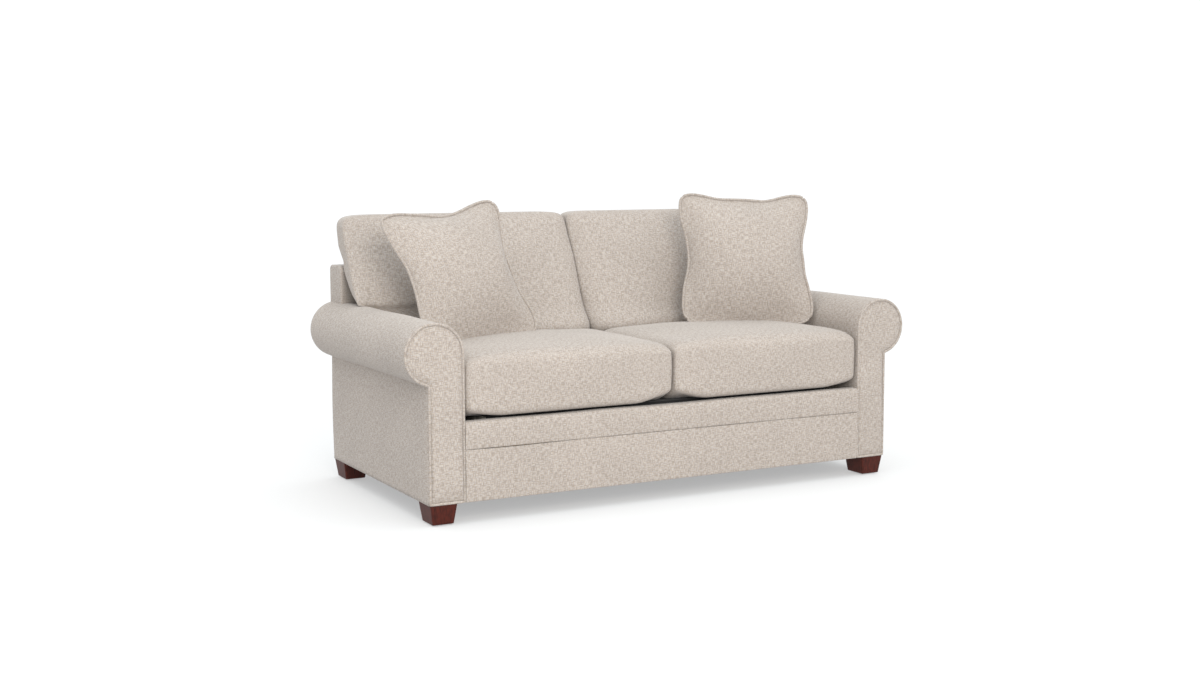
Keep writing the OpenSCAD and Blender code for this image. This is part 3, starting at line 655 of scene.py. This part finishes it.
class SofaBack(bpy.types.Operator):
    """Upholsters the back: the padded frame with its rounded top and the outside back panel"""
    bl_idname = "sofa_bed.back"
    bl_label = "Back"

    def execute(self, context):
        self.body(context.scene.sofa_sizes.crease)
        self.outside()
        return {"FINISHED"}

    def body(self, crease):
        """The back section carried across the width: front wall, a quarter circle of radius r,
        top, a quarter circle and rear wall. Over the arms it starts inside the roll. At both
        ends the section is drawn in by pull along a quarter circle of radius soft."""
        front, rear, top = BACK_LO[1], REAR_Y - 0.003, BACK_HI[2]
        r, soft = 0.018, 0.007
        turn = quarter(6)
        ends = OUT_X - soft * (1 - np.sin(turn))
        drawn = soft * (1 - np.cos(turn))
        x = np.concatenate([-ends[::-1], np.linspace(-OUT_X + soft + 0.01, -IN_X - 0.004, 10),
                            [-IN_X + 0.001], np.linspace(-IN_X + 0.03, IN_X - 0.03, 60),
                            [IN_X - 0.001], np.linspace(IN_X + 0.004, OUT_X - soft - 0.01, 10),
                            ends])
        pull = np.concatenate([drawn[::-1], np.zeros(len(x) - 2 * len(drawn)), drawn])
        pull = pull[:, None]
        low = np.where(np.abs(x) < IN_X, BASE_Z, ROLL_Z + 0.03)[:, None]
        turn = quarter(8)
        wall = low + (top - r - low) * np.linspace(0, 1, 30)
        round_y = pull + (r - pull * 0.5) * (1 - np.cos(turn))
        round_z = top - r + (r - pull) * np.sin(turn)
        level = np.linspace(front + r + 0.01, rear - r - 0.01, 8)
        y = np.hstack([front + pull + 0 * wall, front + round_y, level + 0 * pull,
                       (rear - round_y)[:, ::-1], rear - pull + 0 * wall])
        z = np.hstack([wall, round_z, top - pull + 0 * level, round_z[:, ::-1], wall[:, ::-1]])
        points = np.stack([x[:, None] + 0 * y, y, z], -1)
        points[..., 2] += np.where(z > top - 0.001, 1.2 * crease * ripple(points, 0.3, 21), 0)
        middle = len(x) // 2
        closed_strip("back_upholstery", "back_cover", x, np.stack([y, z], -1)[middle], points)

    def outside(self):
        """The outside back: a thin padded panel over the whole rear, with soft edges and 2 mm
        fuller from 100 mm within them."""
        half = np.array([OUT_X - 0.003, (BACK_HI[2] - 0.016 - BASE_Z) / 2, 0.004])
        across, inset, height, faces, uv = soft_lattice(half, (90, 40, 3), 0.0035, 60)
        fuller = 0.002 * ease(inset / 0.1) * (height > 0)
        place = np.stack([across[:, 0] * half[0], REAR_Y - 0.003 + height * half[2] + fuller,
                          BASE_Z + half[1] + across[:, 1] * half[1]], -1)
        pad("outside_back_panel", place, *flipped(faces, uv), 0.9, "sofa_frame")


class SofaRail(bpy.types.Operator):
    """Upholsters the front rail: the upper band with its rounded top and the lower panel"""
    bl_idname = "sofa_bed.rail"
    bl_label = "Front rail"

    def execute(self, context):
        crease = context.scene.sofa_sizes.crease
        self.strip("rail_band", *span("rail_band"), 0.011, crease, 31)
        low, high = span("rail_panel")
        low[1] = depth(0.001)
        self.strip("rail_panel", low, high, 0.003, crease, 32)
        return {"FINISHED"}

    def strip(self, node, low, high, r, crease, seed):
        """A padded strip between the arms: a section with a seam below, its upper corners
        rounded by r, carried across, its front crowned by 2.5 mm between its seams."""
        turn, low_turn = quarter(7), quarter(4)
        seam = 0.003
        rise = np.linspace(low[2] + 0.01, high[2] - r - 0.006, 14)
        y = np.concatenate([low[1] + seam * (1 - np.sin(low_turn)), np.full(len(rise), low[1]),
                            low[1] + r * (1 - np.cos(turn)), high[1] - r * (1 - np.sin(turn)),
                            high[1:2]])
        z = np.concatenate([low[2] + seam * (1 - np.cos(low_turn)), rise,
                            high[2] - r + r * np.sin(turn), high[2] - r + r * np.cos(turn),
                            low[2:]])
        section = np.stack([y, z], -1)
        x = np.linspace(-IN_X, IN_X, 110)
        points = np.empty((len(x), len(y), 3))
        points[..., 0] = x[:, None]
        points[..., 1:] = section
        share = (points[..., 2] - low[2]) / (high[2] - low[2])
        facing = points[..., 1] < low[1] + 0.001
        crown = 0.0025 * np.sin(np.pi * np.clip(share, 0, 1)) * facing
        points[..., 1] -= crown + facing * crease * 0.6 * ripple(points, 0.35, seed)
        points[..., 2] += (share > 0.97) * crease * ripple(points, 0.4, seed + 5)
        closed_strip(node + "_cover", node, x, section, points)


class SofaSeatCushions(bpy.types.Operator):
    """Makes the two loose seat cushions as crowned soft boxes"""
    bl_idname = "sofa_bed.seat_cushions"
    bl_label = "Seat cushions"

    def execute(self, context):
        sizes = context.scene.sofa_sizes
        for name, side in SIDES.items():
            node = "seat_cushion_" + name
            low, high = span(node)
            half, centre = (high - low) / 2, (high + low) / 2
            across, inset, height, faces, uv = soft_lattice(half, (84, 64, 26),
                                                            sizes.seat_edge, 44, 0.022)
            plan = np.abs(across)
            nearer = plan.min(axis=1)
            wall = 1 - ease(inset / 0.07)
            corner = ease((nearer - 0.8) / 0.2)
            middle = np.cos(np.pi / 2 * height)
            place = np.empty((len(across), 3))
            # Walls bulge between their seams and draw in by 1 % at the four corners
            bulge = middle * wall * (1 - nearer ** 4)
            draw = 1 - 0.010 * corner * wall * (1 - 0.6 * middle)
            place[:, 0] = centre[0] + across[:, 0] * (half[0] - 0.001) * draw
            place[:, 1] = centre[1] + across[:, 1] * (half[1] - 0.003) * draw
            place[:, 1] -= 0.007 * bulge * (across[:, 1] < -0.8)
            # The crown falls 25 mm from the middle to the seams
            crown = 0.025 * (1 - (1 - plan[:, 0] ** 3) * (1 - plan[:, 1] ** 4))
            top = high[2] - crown - 0.006 * corner
            place[:, 2] = centre[2] + height * np.where(height > 0, top - centre[2], half[2])
            # The underside lifts where the cover is drawn in: 8 mm at the front, 24 mm at the
            # corners in the middle of the sofa and 15 mm at those beside the arms
            drawn = ease((nearer - 0.62) / 0.38)
            front = ease((-across[:, 1] - 0.7) / 0.3)
            lift = np.where(across[:, 0] * side < 0, 0.024, 0.015)
            place[:, 2] += (lift * drawn + 0.008 * front) * ease(0.5 - 0.8 * height)
            place[:, 2] += (sizes.crease * 1.4 * ripple(place, 0.24, 40 + side)
                            * ease((height + 0.2) / 0.8))
            pad("seat_cushion_cover_" + name, place, faces, uv, 0.75, node, node)
        return {"FINISHED"}


class SofaBackCushions(bpy.types.Operator):
    """Makes the two back cushions, which lean back and reach out over the arms"""
    bl_idname = "sofa_bed.back_cushions"
    bl_label = "Back cushions"

    # Rear of a cushion over the arm, where it leaves the roll and follows the back: heights,
    # and the distances back from the arm fronts
    rear_z = (0.66, 0.692, 0.724, 0.757, 0.8, 0.86, 0.968)
    rear_u = (0.66, 0.728, 0.770, 0.806, 0.84, 0.88, 0.905)

    def execute(self, context):
        sizes = context.scene.sofa_sizes
        for name, side in SIDES.items():
            node = "back_cushion_" + name
            low, high = span(node)
            hz = (high[2] - low[2]) / 2
            half = np.array([(IN_X + OUT_X) / 4, hz, 0.09])
            across, _, height, faces, uv = soft_lattice(half, (72, 64, 24),
                                                        sizes.back_edge, 16)
            z = low[2] + hz + across[:, 1] * hz
            # The outer edge keeps to the arm, then to the roll, and widens above the roll
            rise = np.clip(z - ROLL_Z, 0, ROLL_R)
            roll = ROLL_X - np.sqrt(ROLL_R ** 2 - rise ** 2) - 0.004
            roll_top = ROLL_Z + ROLL_R
            over = ease((z - (roll_top - 0.006)) / 0.008)
            # The outer top corner is rounder than the inner one
            turn = np.clip((z - (high[2] - 0.05)) / 0.05, 0, 1)
            edge = (roll + (OUT_X - 0.006 - roll) * over
                    - 0.018 * (1 - np.sqrt(1 - turn * turn)))
            # Each cushion stays 1 mm clear of the middle
            width = (edge - 0.001) / 2
            x = 0.001 + width + across[:, 0] * width
            # The front leans back by half the height above 0.53 m. The rear keeps to the back
            # frame up to 0.805 m and then reaches over it
            front = depth(0.6) + 0.5 * (z - 0.53)
            inside = np.where(z < 0.805, BACK_LO[1],
                              np.minimum(BACK_LO[1] + 1.15 * (z - 0.805), REAR_Y - 0.042))
            outside = np.minimum(inside, depth(np.interp(z, self.rear_z, self.rear_u)))
            reach = ease((x - (IN_X - 0.05)) / 0.1)
            rear = inside * (1 - reach) + outside * reach
            # Where it meets the roll the cushion keeps its full depth right to its edge
            full = ease((roll_top + 0.05 - z) / 0.04) * ease((across[:, 0] - 0.5) / 0.35)
            height = np.where(height > 0, 1 - (1 - height) * (1 - 0.7 * full), height)
            share = (height + 1) / 2
            fullness = (1 - np.abs(across[:, 0]) ** 3) * (1 - np.abs(across[:, 1]) ** 3)
            # The foot of the crowned front presses against the seat cushion
            crown = (0.042 * np.clip(height, 0, 1) * fullness
                     + 0.022 * np.exp(-((z - 0.552) / 0.04) ** 2) * (height > 0))
            # Over the arm the underside lies on the roll
            aside = np.clip(x - ROLL_X, -ROLL_R, ROLL_R)
            rest = ROLL_Z + np.sqrt(ROLL_R ** 2 - aside ** 2) + 0.001
            z = np.where((x > IN_X - 0.003) & (z > ROLL_Z + 0.06), np.maximum(z, rest), z)
            place = np.stack([side * x, rear * (1 - share) + front * share - crown, z], -1)
            place[:, 1] -= sizes.crease * 2 * ripple(place, 0.3, 50 + side) * (height > 0)
            if side < 0:
                faces, uv = flipped(faces, uv)
            pad("back_cushion_cover_" + name, place, faces, uv, 0.7, "sofa_frame", node)
        return {"FINISHED"}


class SofaPillows(bpy.types.Operator):
    """Makes the two throw pillows with drawn-in sides, pointed corners and a welt"""
    bl_idname = "sofa_bed.pillows"
    bl_label = "Throw pillows"

    # Middle, then turn, lean and tilt in degrees, then half the width, then how far the
    # inner seam lies forward, and the foot and the top of the outer seam
    lie = {"left": ((-0.597, 0.468, 0.765), (18.6, -22.5, -3.6), 0.2575, 0.034, 0.035, -0.018),
           "right": ((0.566, 0.427, 0.792), (-20.2, -17.3, 1.2), 0.2525, 0.004, 0.018, 0.018)}
    seeds = {"left": 61, "right": 62}

    def execute(self, context):
        for name in SIDES:
            self.pillow(name, context.scene.sofa_sizes.pillow_welt)
        return {"FINISHED"}

    def pillow(self, name, welt_radius):
        """Two flat square sheets joined round their edge are blown up as cloth, so the sides
        draw in between the corners and fold at the seam. Each inner point is then moved ten
        times to the mean of its four neighbours, the whole is scaled to the pillow's width and
        thickness, the seam is evened out and bent, and the pillow is laid in its place."""
        # Squares along a side, and half the thickness
        count, thick = 44, 0.080
        middle, turn, half, inner, outer_low, outer_high = self.lie[name]
        half -= welt_radius
        s = np.linspace(-1, 1, count + 1)
        a, b = np.meshgrid(s, s, indexing="ij")
        # Corners of the sheets are cut in slightly, as they are on a sewn pillow
        reach = np.maximum(np.abs(a), np.abs(b))
        cut = reach / np.maximum((np.abs(a) ** 8 + np.abs(b) ** 8) ** (1 / 8), 1e-9)
        x = half * a * cut * (1 - 0.065 * (1 - b * b))
        # The lower edge is pressed straight by the weight of the pillow
        z = half * b * cut * (1 - np.where(b > 0, 0.075, -0.015) * (1 - a * a))
        rim = reach > 0.9999
        flat = np.stack([x, np.zeros_like(x), z], -1)
        puff = 0.012 * ((1 - a ** 2) * (1 - b ** 2)) ** 0.5 + np.where(
            rim, 0, 0.0015 * ripple(flat, 0.08, self.seeds[name]) ** 2)
        front, back = np.stack([x, -puff, z], -1), np.stack([x, puff, z], -1)
        size = count + 1
        number = np.arange(size * size).reshape(size, size)
        other = np.where(rim, number, 0)
        other[~rim] = size * size + np.arange((~rim).sum())
        quads, _ = grid_faces(size, size)
        faces = np.concatenate([quads, other.reshape(-1)[quads][:, ::-1]])
        uv = np.stack([a, b], -1).reshape(-1, 2)[quads] * half
        uv = np.concatenate([uv, uv[:, ::-1] + [2, 0]])
        points = blow_up(np.vstack([front.reshape(-1, 3), back[~rim]]), faces)
        points *= half / np.abs(points[:, 0]).max()
        for sheet in (number, other):
            for _ in range(10):
                even = points[sheet]
                even[1:-1, 1:-1] = (even[:-2, 1:-1] + even[2:, 1:-1]
                                    + even[1:-1, :-2] + even[1:-1, 2:]) / 4
                points[sheet] = even
        # The power keeps the pillow thin near its seams
        swell = points[:, 1] / np.abs(points[:, 1]).max()
        points[:, 1] = thick * np.sign(swell) * np.abs(swell) ** 1.75
        border = np.concatenate([number[:-1, 0], number[-1, :-1], number[:0:-1, -1],
                                 number[0, :0:-1]])
        self.stiffen(points, border, count)
        # The fill sags back, so the side seams lie nearer the front
        across = points[:, 0] * -SIDES[name] / half
        outer = outer_low + (outer_high - outer_low) * (points[:, 2] / half + 1) / 2
        points[:, 1] -= np.where(across > 0, inner, outer) * across ** 2
        move = np.array(Matrix.Translation((middle[0], depth(middle[1]), middle[2]))
                        @ Matrix.Rotation(math.radians(turn[0]), 4, "Z")
                        @ Matrix.Rotation(math.radians(turn[1]), 4, "X")
                        @ Matrix.Rotation(math.radians(turn[2]), 4, "Y"))
        path = points[border]
        # The welt stands out from the seam by half of its radius
        ahead = np.roll(path, -2, axis=0) - np.roll(path, 2, axis=0)
        outward = np.stack([ahead[:, 2], np.zeros(len(path)), -ahead[:, 0]], -1)
        outward /= np.linalg.norm(outward, axis=1)[:, None]
        path = path + 0.5 * welt_radius * outward * np.sign((outward * path).sum())
        node = "pillow_" + name
        piece = make_piece("throw_pillow_" + name, points @ move[:3, :3].T + move[:3, 3],
                           faces, uv, "upholstery", node, node)
        # The seam stays sharp when the surface is made finer
        crease = piece.data.attributes.new("crease_edge", "FLOAT", "EDGE")
        ends = np.empty(len(piece.data.edges) * 2, int)
        piece.data.edges.foreach_get("vertices", ends)
        on_seam = np.isin(ends.reshape(-1, 2), border).all(axis=1)
        crease.data.foreach_set("value", on_seam.astype(float))
        fine = piece.modifiers.new("finer", "SUBSURF")
        fine.levels = fine.render_levels = 1
        path = resample(np.vstack([path, path[:1]]), 0.008)[:-1]
        path = path @ move[:3, :3].T + move[:3, 3]
        make_piece("pillow_welt_cord_" + name, *tube_along(path, welt_radius, 8, move[:3, 1]),
                   "upholstery", node, "pillow_welt_" + name)

    def stiffen(self, points, border, count):
        """The cord in the seam evens it out: each border point moves to the mean, weighted by
        a bell curve, of the border near it on its own side, and the points of the two sheets
        follow by a share that falls with their distance from it."""
        before = points[border].copy()
        after = before.copy()
        spot = np.arange(count + 1)
        apart = np.abs(spot[:, None] - spot[None, :])
        # The weights are kept even about each point, so that the corners stay
        near = np.minimum(spot, count - spot)
        share = np.exp(-(apart / 3.0) ** 2) * (apart <= near[:, None])
        for k in range(4):
            run = (k * count + spot) % (4 * count)
            after[run] = (share @ before[run]) / share.sum(axis=1)[:, None]
        # In blocks of 500, to save memory
        for first in range(0, len(points), 500):
            block = points[first:first + 500]
            gap = np.linalg.norm(block[:, None] - before[None], axis=-1)
            follow = np.exp(-(gap.min(axis=1) / 0.02) ** 2)
            block += (after - before)[gap.argmin(axis=1)] * follow[:, None]


class SofaFeet(bpy.types.Operator):
    """Makes the four tapered block feet with eased edges"""
    bl_idname = "sofa_bed.feet"
    bl_label = "Feet"

    def execute(self, context):
        for row in ("front", "rear"):
            for name in SIDES:
                node = f"foot_{row}_{name}"
                low, high = span(node)
                half = (high - low) / 2
                across, _, height, faces, uv = soft_lattice(half, (10, 10, 8), 0.0022, 40)
                # Each side face slopes in by 9.5 mm towards the floor
                slope = half[:2] - 0.0095 * (1 - height[:, None]) / 2
                place = (high + low) / 2 + np.column_stack([across * slope, height * half[2]])
                make_piece("block_" + node, place, faces, uv, "foot_wood", "sofa_frame", node)
        return {"FINISHED"}


class SofaMattress(bpy.types.Operator):
    """Makes the quilted mattress: two parts that bend at the front folds, and the foot part"""
    bl_idname = "sofa_bed.mattress"
    bl_label = "Mattress"

    # Half the height over which a fold's bend is spread, and the radius of the long edges
    thin = 0.003
    edge = 0.011

    def execute(self, context):
        head_lo, head_hi = span("head_mattress")
        _, body_hi = span("body_mattress")
        fold = np.array([depth(0.066), head_lo[2] + 0.012])
        middle = (head_lo[2] + body_hi[2]) / 2
        for name, rear, nodes, mirror in (
                ("head", head_hi[1], ("head_mattress", "mid_mattress"), False),
                ("body", body_hi[1] - 0.001, ("body_mattress",), True)):
            piece = self.folded(name, rear - fold[0], fold, middle, nodes, mirror)
            # The bend runs along a slanting plane through the fold
            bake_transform(piece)
        self.block(*span("foot_mattress"))
        return {"FINISHED"}

    def folded(self, name, length, fold, middle, nodes, mirror):
        """A slab drawn flat, as in the open bed, from the middle of the standing section to
        the end of the lying one, then folded a quarter turn. Each point keeps its distance
        from the fold. Its angle is its flat angle less the share of the turn, and that share
        is found by halving so that it agrees with the smooth step across the fold."""
        half_x = span("head_mattress")[1][0]
        half_mid = middle - fold[1]
        columns = np.concatenate([np.linspace(-half_mid, half_mid, 37),
                                  np.linspace(half_mid, length, 44)[1:]])
        count = len(columns) - 1
        half = np.array([half_x, (length + half_mid) / 2, 0.041])
        points, faces, _, sides = box_lattice(half, (96, count, 6))
        order = np.sin(np.linspace(-np.pi / 2, np.pi / 2, count + 1))
        a = np.interp(points[:, 1], order, columns)
        across, _, height = soft_box(points, half, self.edge, 60)
        x = across[:, 0] * half_x
        c = 0.029 + height * half[2]
        # The ticking is laid out on the flat mattress
        corner = np.stack([x, a, c], -1)[faces]
        pick = np.array([[1, 2], [0, 2], [0, 1]])[sides // 2]
        uv = np.take_along_axis(corner, np.repeat(pick[:, None], 4, axis=1), axis=2)
        # The foam stays slightly creased where it was folded
        c = c - np.where(c > 0, 0.012 * np.exp(-(a / 0.035) ** 2) * (c / 0.07), 0)
        radius = np.hypot(a, c)
        angle = np.arctan2(c, a)
        angle = np.where(angle < -np.pi / 2 - 1e-6, angle + 2 * np.pi, angle)
        low_w, high_w = np.zeros(len(a)), np.ones(len(a))
        for _ in range(40):
            w = (low_w + high_w) / 2
            reach = radius * np.sin(angle - np.pi / 4 - np.pi / 2 * w)
            ahead = w > ease((reach + self.thin) / (2 * self.thin))
            high_w = np.where(ahead, w, high_w)
            low_w = np.where(ahead, low_w, w)
        w = np.where(c <= 0, (a < 0).astype(float), (low_w + high_w) / 2)
        rest = angle - np.pi / 2 * w
        z = fold[1] + radius * np.sin(rest)
        if mirror:
            z = 2 * middle - z
            faces, uv = flipped(faces, uv)
        place = np.stack([x, fold[0] + radius * np.cos(rest), z], -1)
        return make_piece("mattress_" + name, place, faces, uv, "ticking", None, *nodes)

    def block(self, low, high):
        """The foot part of the mattress, a slab with rounded edges, 1 mm short at its rear."""
        high = high - np.array([0, 0.001, 0])
        half = (high - low) / 2
        across, _, height, faces, uv = soft_lattice(half, (96, 40, 6), self.edge, 60)
        place = (high + low) / 2 + np.column_stack([across, height]) * half
        pad("mattress_foot", place, faces, uv, 0.9, "foot_section", "foot_mattress",
            slot="ticking")


class SofaSeatCloth(bpy.types.Operator):
    """Lays the black cloth over the folded bed, under the seat cushions"""
    bl_idname = "sofa_bed.seat_cloth"
    bl_label = "Seat cloth"

    def execute(self, context):
        low, high = span("seat_cloth")
        edge = span("foot_mattress")[0][1] - 0.0016
        half = (high - low) / 2
        hang = 0.032
        length = high[1] - edge + hang
        half[1] = length / 2
        points, faces, uv, _ = box_lattice(half, (80, 60, 1))
        path = self.over_edge((points[:, 1] + 1) / 2 * length, hang, 0.007)
        thick = points[:, 2] * half[2]
        place = np.stack([points[:, 0] * half[0], edge + path[0] + path[2] * thick,
                          (high[2] + low[2]) / 2 + path[1] + path[3] * thick], -1)
        piece = make_piece("platform_cloth_sheet", place, faces, uv, "black_cloth",
                           "foot_section", "seat_cloth")
        return {"FINISHED"}

    def over_edge(self, t, hang, radius):
        """Path of a cloth that hangs over an edge: straight up, a quarter turn of the given
        radius, then level. Takes the length along the cloth and returns depth and height from
        the corner, and the depth and height of the way it faces."""
        arc = radius * np.pi / 2
        past = t - (hang - arc / 2)
        turn = np.clip(past / arc, 0, 1) * np.pi / 2
        return (radius * (1 - np.cos(turn)) + np.maximum(past - arc, 0),
                np.minimum(past, 0) - radius * (1 - np.sin(turn)), -np.cos(turn), np.sin(turn))


class SofaMechanism(bpy.types.Operator):
    """Gives every solid that stays in view its finish: steel, wood, cloth and plastic"""
    bl_idname = "sofa_bed.mechanism"
    bl_label = "Mechanism and frame"

    finishes = {
        "hardwood": ("arm_frame_", "back_frame", "rail_board", "side_board_"),
        "steel": ("bracket_", "link_", "head_frame", "head_pins", "mid_frame", "body_frame",
                  "body_pins", "foot_frame", "foot_pins", "body_leg_", "foot_leg_",
                  "foot_bolts"),
        "black_cloth": ("dust_cover", "head_deck", "body_deck", "foot_deck", "pull_strap"),
        "black_plastic": ("body_leg_caps", "foot_leg_caps", "foot_glides")}

    def execute(self, context):
        for node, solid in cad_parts.items():
            slot = "upholstery"
            for finish, starts in self.finishes.items():
                if node.startswith(starts):
                    slot = finish
            solid.data.materials.clear()
            solid.data.materials.append(material_of(slot))
        return {"FINISHED"}


class SofaStage(bpy.types.Operator):
    """Makes the floor, the soft studio lights and the camera of the photograph"""
    bl_idname = "sofa_bed.stage"
    bl_label = "Studio"

    def execute(self, context):
        look = context.scene.sofa_look
        mesh = bpy.data.meshes.new("studio_floor")
        size = 60
        mesh.from_pydata([(-size, -size, 0), (size, -size, 0), (size, size, 0),
                          (-size, size, 0)], [], [(0, 1, 2, 3)])
        mesh.materials.append(material_of("floor"))
        self.put("studio_floor", mesh, (0, 0, 0))
        world = bpy.data.worlds.new("studio_surround")
        context.scene.world = world
        world.use_nodes = True
        shade = world.node_tree.nodes["Background"]
        shade.inputs["Color"].default_value = (0.975, 0.99, 1.0, 1)
        shade.inputs["Strength"].default_value = look.surround
        sky = bpy.data.lights.new("top_light", "SUN")
        sky.energy, sky.color, sky.angle = look.top_light, (0.88, 0.97, 1.0), 1.4
        above = self.put("top_light", sky, (0, 0, 4))
        above.rotation_euler = (math.radians(12), math.radians(2), 0)
        soft = bpy.data.lights.new("front_light", "AREA")
        soft.shape = "RECTANGLE"
        soft.size, soft.size_y = 2.2, 2.4
        soft.energy, soft.color = look.front_power, (1.0, 0.965, 0.91)
        place = Vector((-1.65, -5.8, 2.6))
        self.put("front_light", soft, place, Vector((-0.1, 0, 0.5)) - place)
        # Lens and place of the camera as solved from the photograph
        lens = bpy.data.cameras.new("photo_camera")
        lens.sensor_width, lens.lens = 36, 46.161
        yaw, pitch, roll = (math.radians(v) for v in (28.36, 6.41, -0.12))
        ahead = Vector((math.sin(yaw) * math.cos(pitch), math.cos(yaw) * math.cos(pitch),
                        -math.sin(pitch)))
        context.scene.camera = self.put("photo_camera", lens, (-2.702, -4.937, 1.146), ahead,
                                        roll)
        context.scene.view_settings.view_transform = "Standard"
        return {"FINISHED"}

    def put(self, name, data, place, ahead=None, roll=0.0):
        """Puts one thing of the stage in its place, turned to look ahead and rolled."""
        thing = bpy.data.objects.new(name, data)
        thing.location = place
        if ahead is not None:
            thing.rotation_mode = "QUATERNION"
            thing.rotation_quaternion = (ahead.to_track_quat("-Z", "Y")
                                         @ Matrix.Rotation(roll, 3, "Z").to_quaternion())
        bpy.context.scene.collection.objects.link(thing)
        return thing


OPERATORS = (SofaStage, SofaMechanism, SofaArms, SofaBack, SofaRail, SofaSeatCushions,
             SofaBackCushions, SofaPillows, SofaFeet, SofaMattress, SofaSeatCloth)


class SofaPanel(bpy.types.Panel):
    """Sidebar panel with the sizes, colours and pieces of the sofa bed"""
    bl_idname = "VIEW3D_PT_sofa_bed"
    bl_label = "Sofa Bed"
    bl_space_type = "VIEW_3D"
    bl_region_type = "UI"
    bl_category = "Sofa Bed"

    def draw(self, context):
        for group in (context.scene.sofa_sizes, context.scene.sofa_look):
            for key in group.__annotations__:
                self.layout.prop(group, key)
        for operator in OPERATORS:
            self.layout.operator(operator.bl_idname)


CLASSES = (SofaSizes, SofaLook, *OPERATORS, SofaPanel)


def register():
    for item in CLASSES:
        bpy.utils.register_class(item)
    bpy.types.Scene.sofa_sizes = bpy.props.PointerProperty(type=SofaSizes)
    bpy.types.Scene.sofa_look = bpy.props.PointerProperty(type=SofaLook)


def unregister():
    del bpy.types.Scene.sofa_look
    del bpy.types.Scene.sofa_sizes
    for item in reversed(CLASSES):
        bpy.utils.unregister_class(item)


def main():
    """Makes every piece in order."""
    register()
    for operator in OPERATORS:
        group, name = operator.bl_idname.split(".")
        getattr(getattr(bpy.ops, group), name)()


if __name__ == "__main__":
    main()
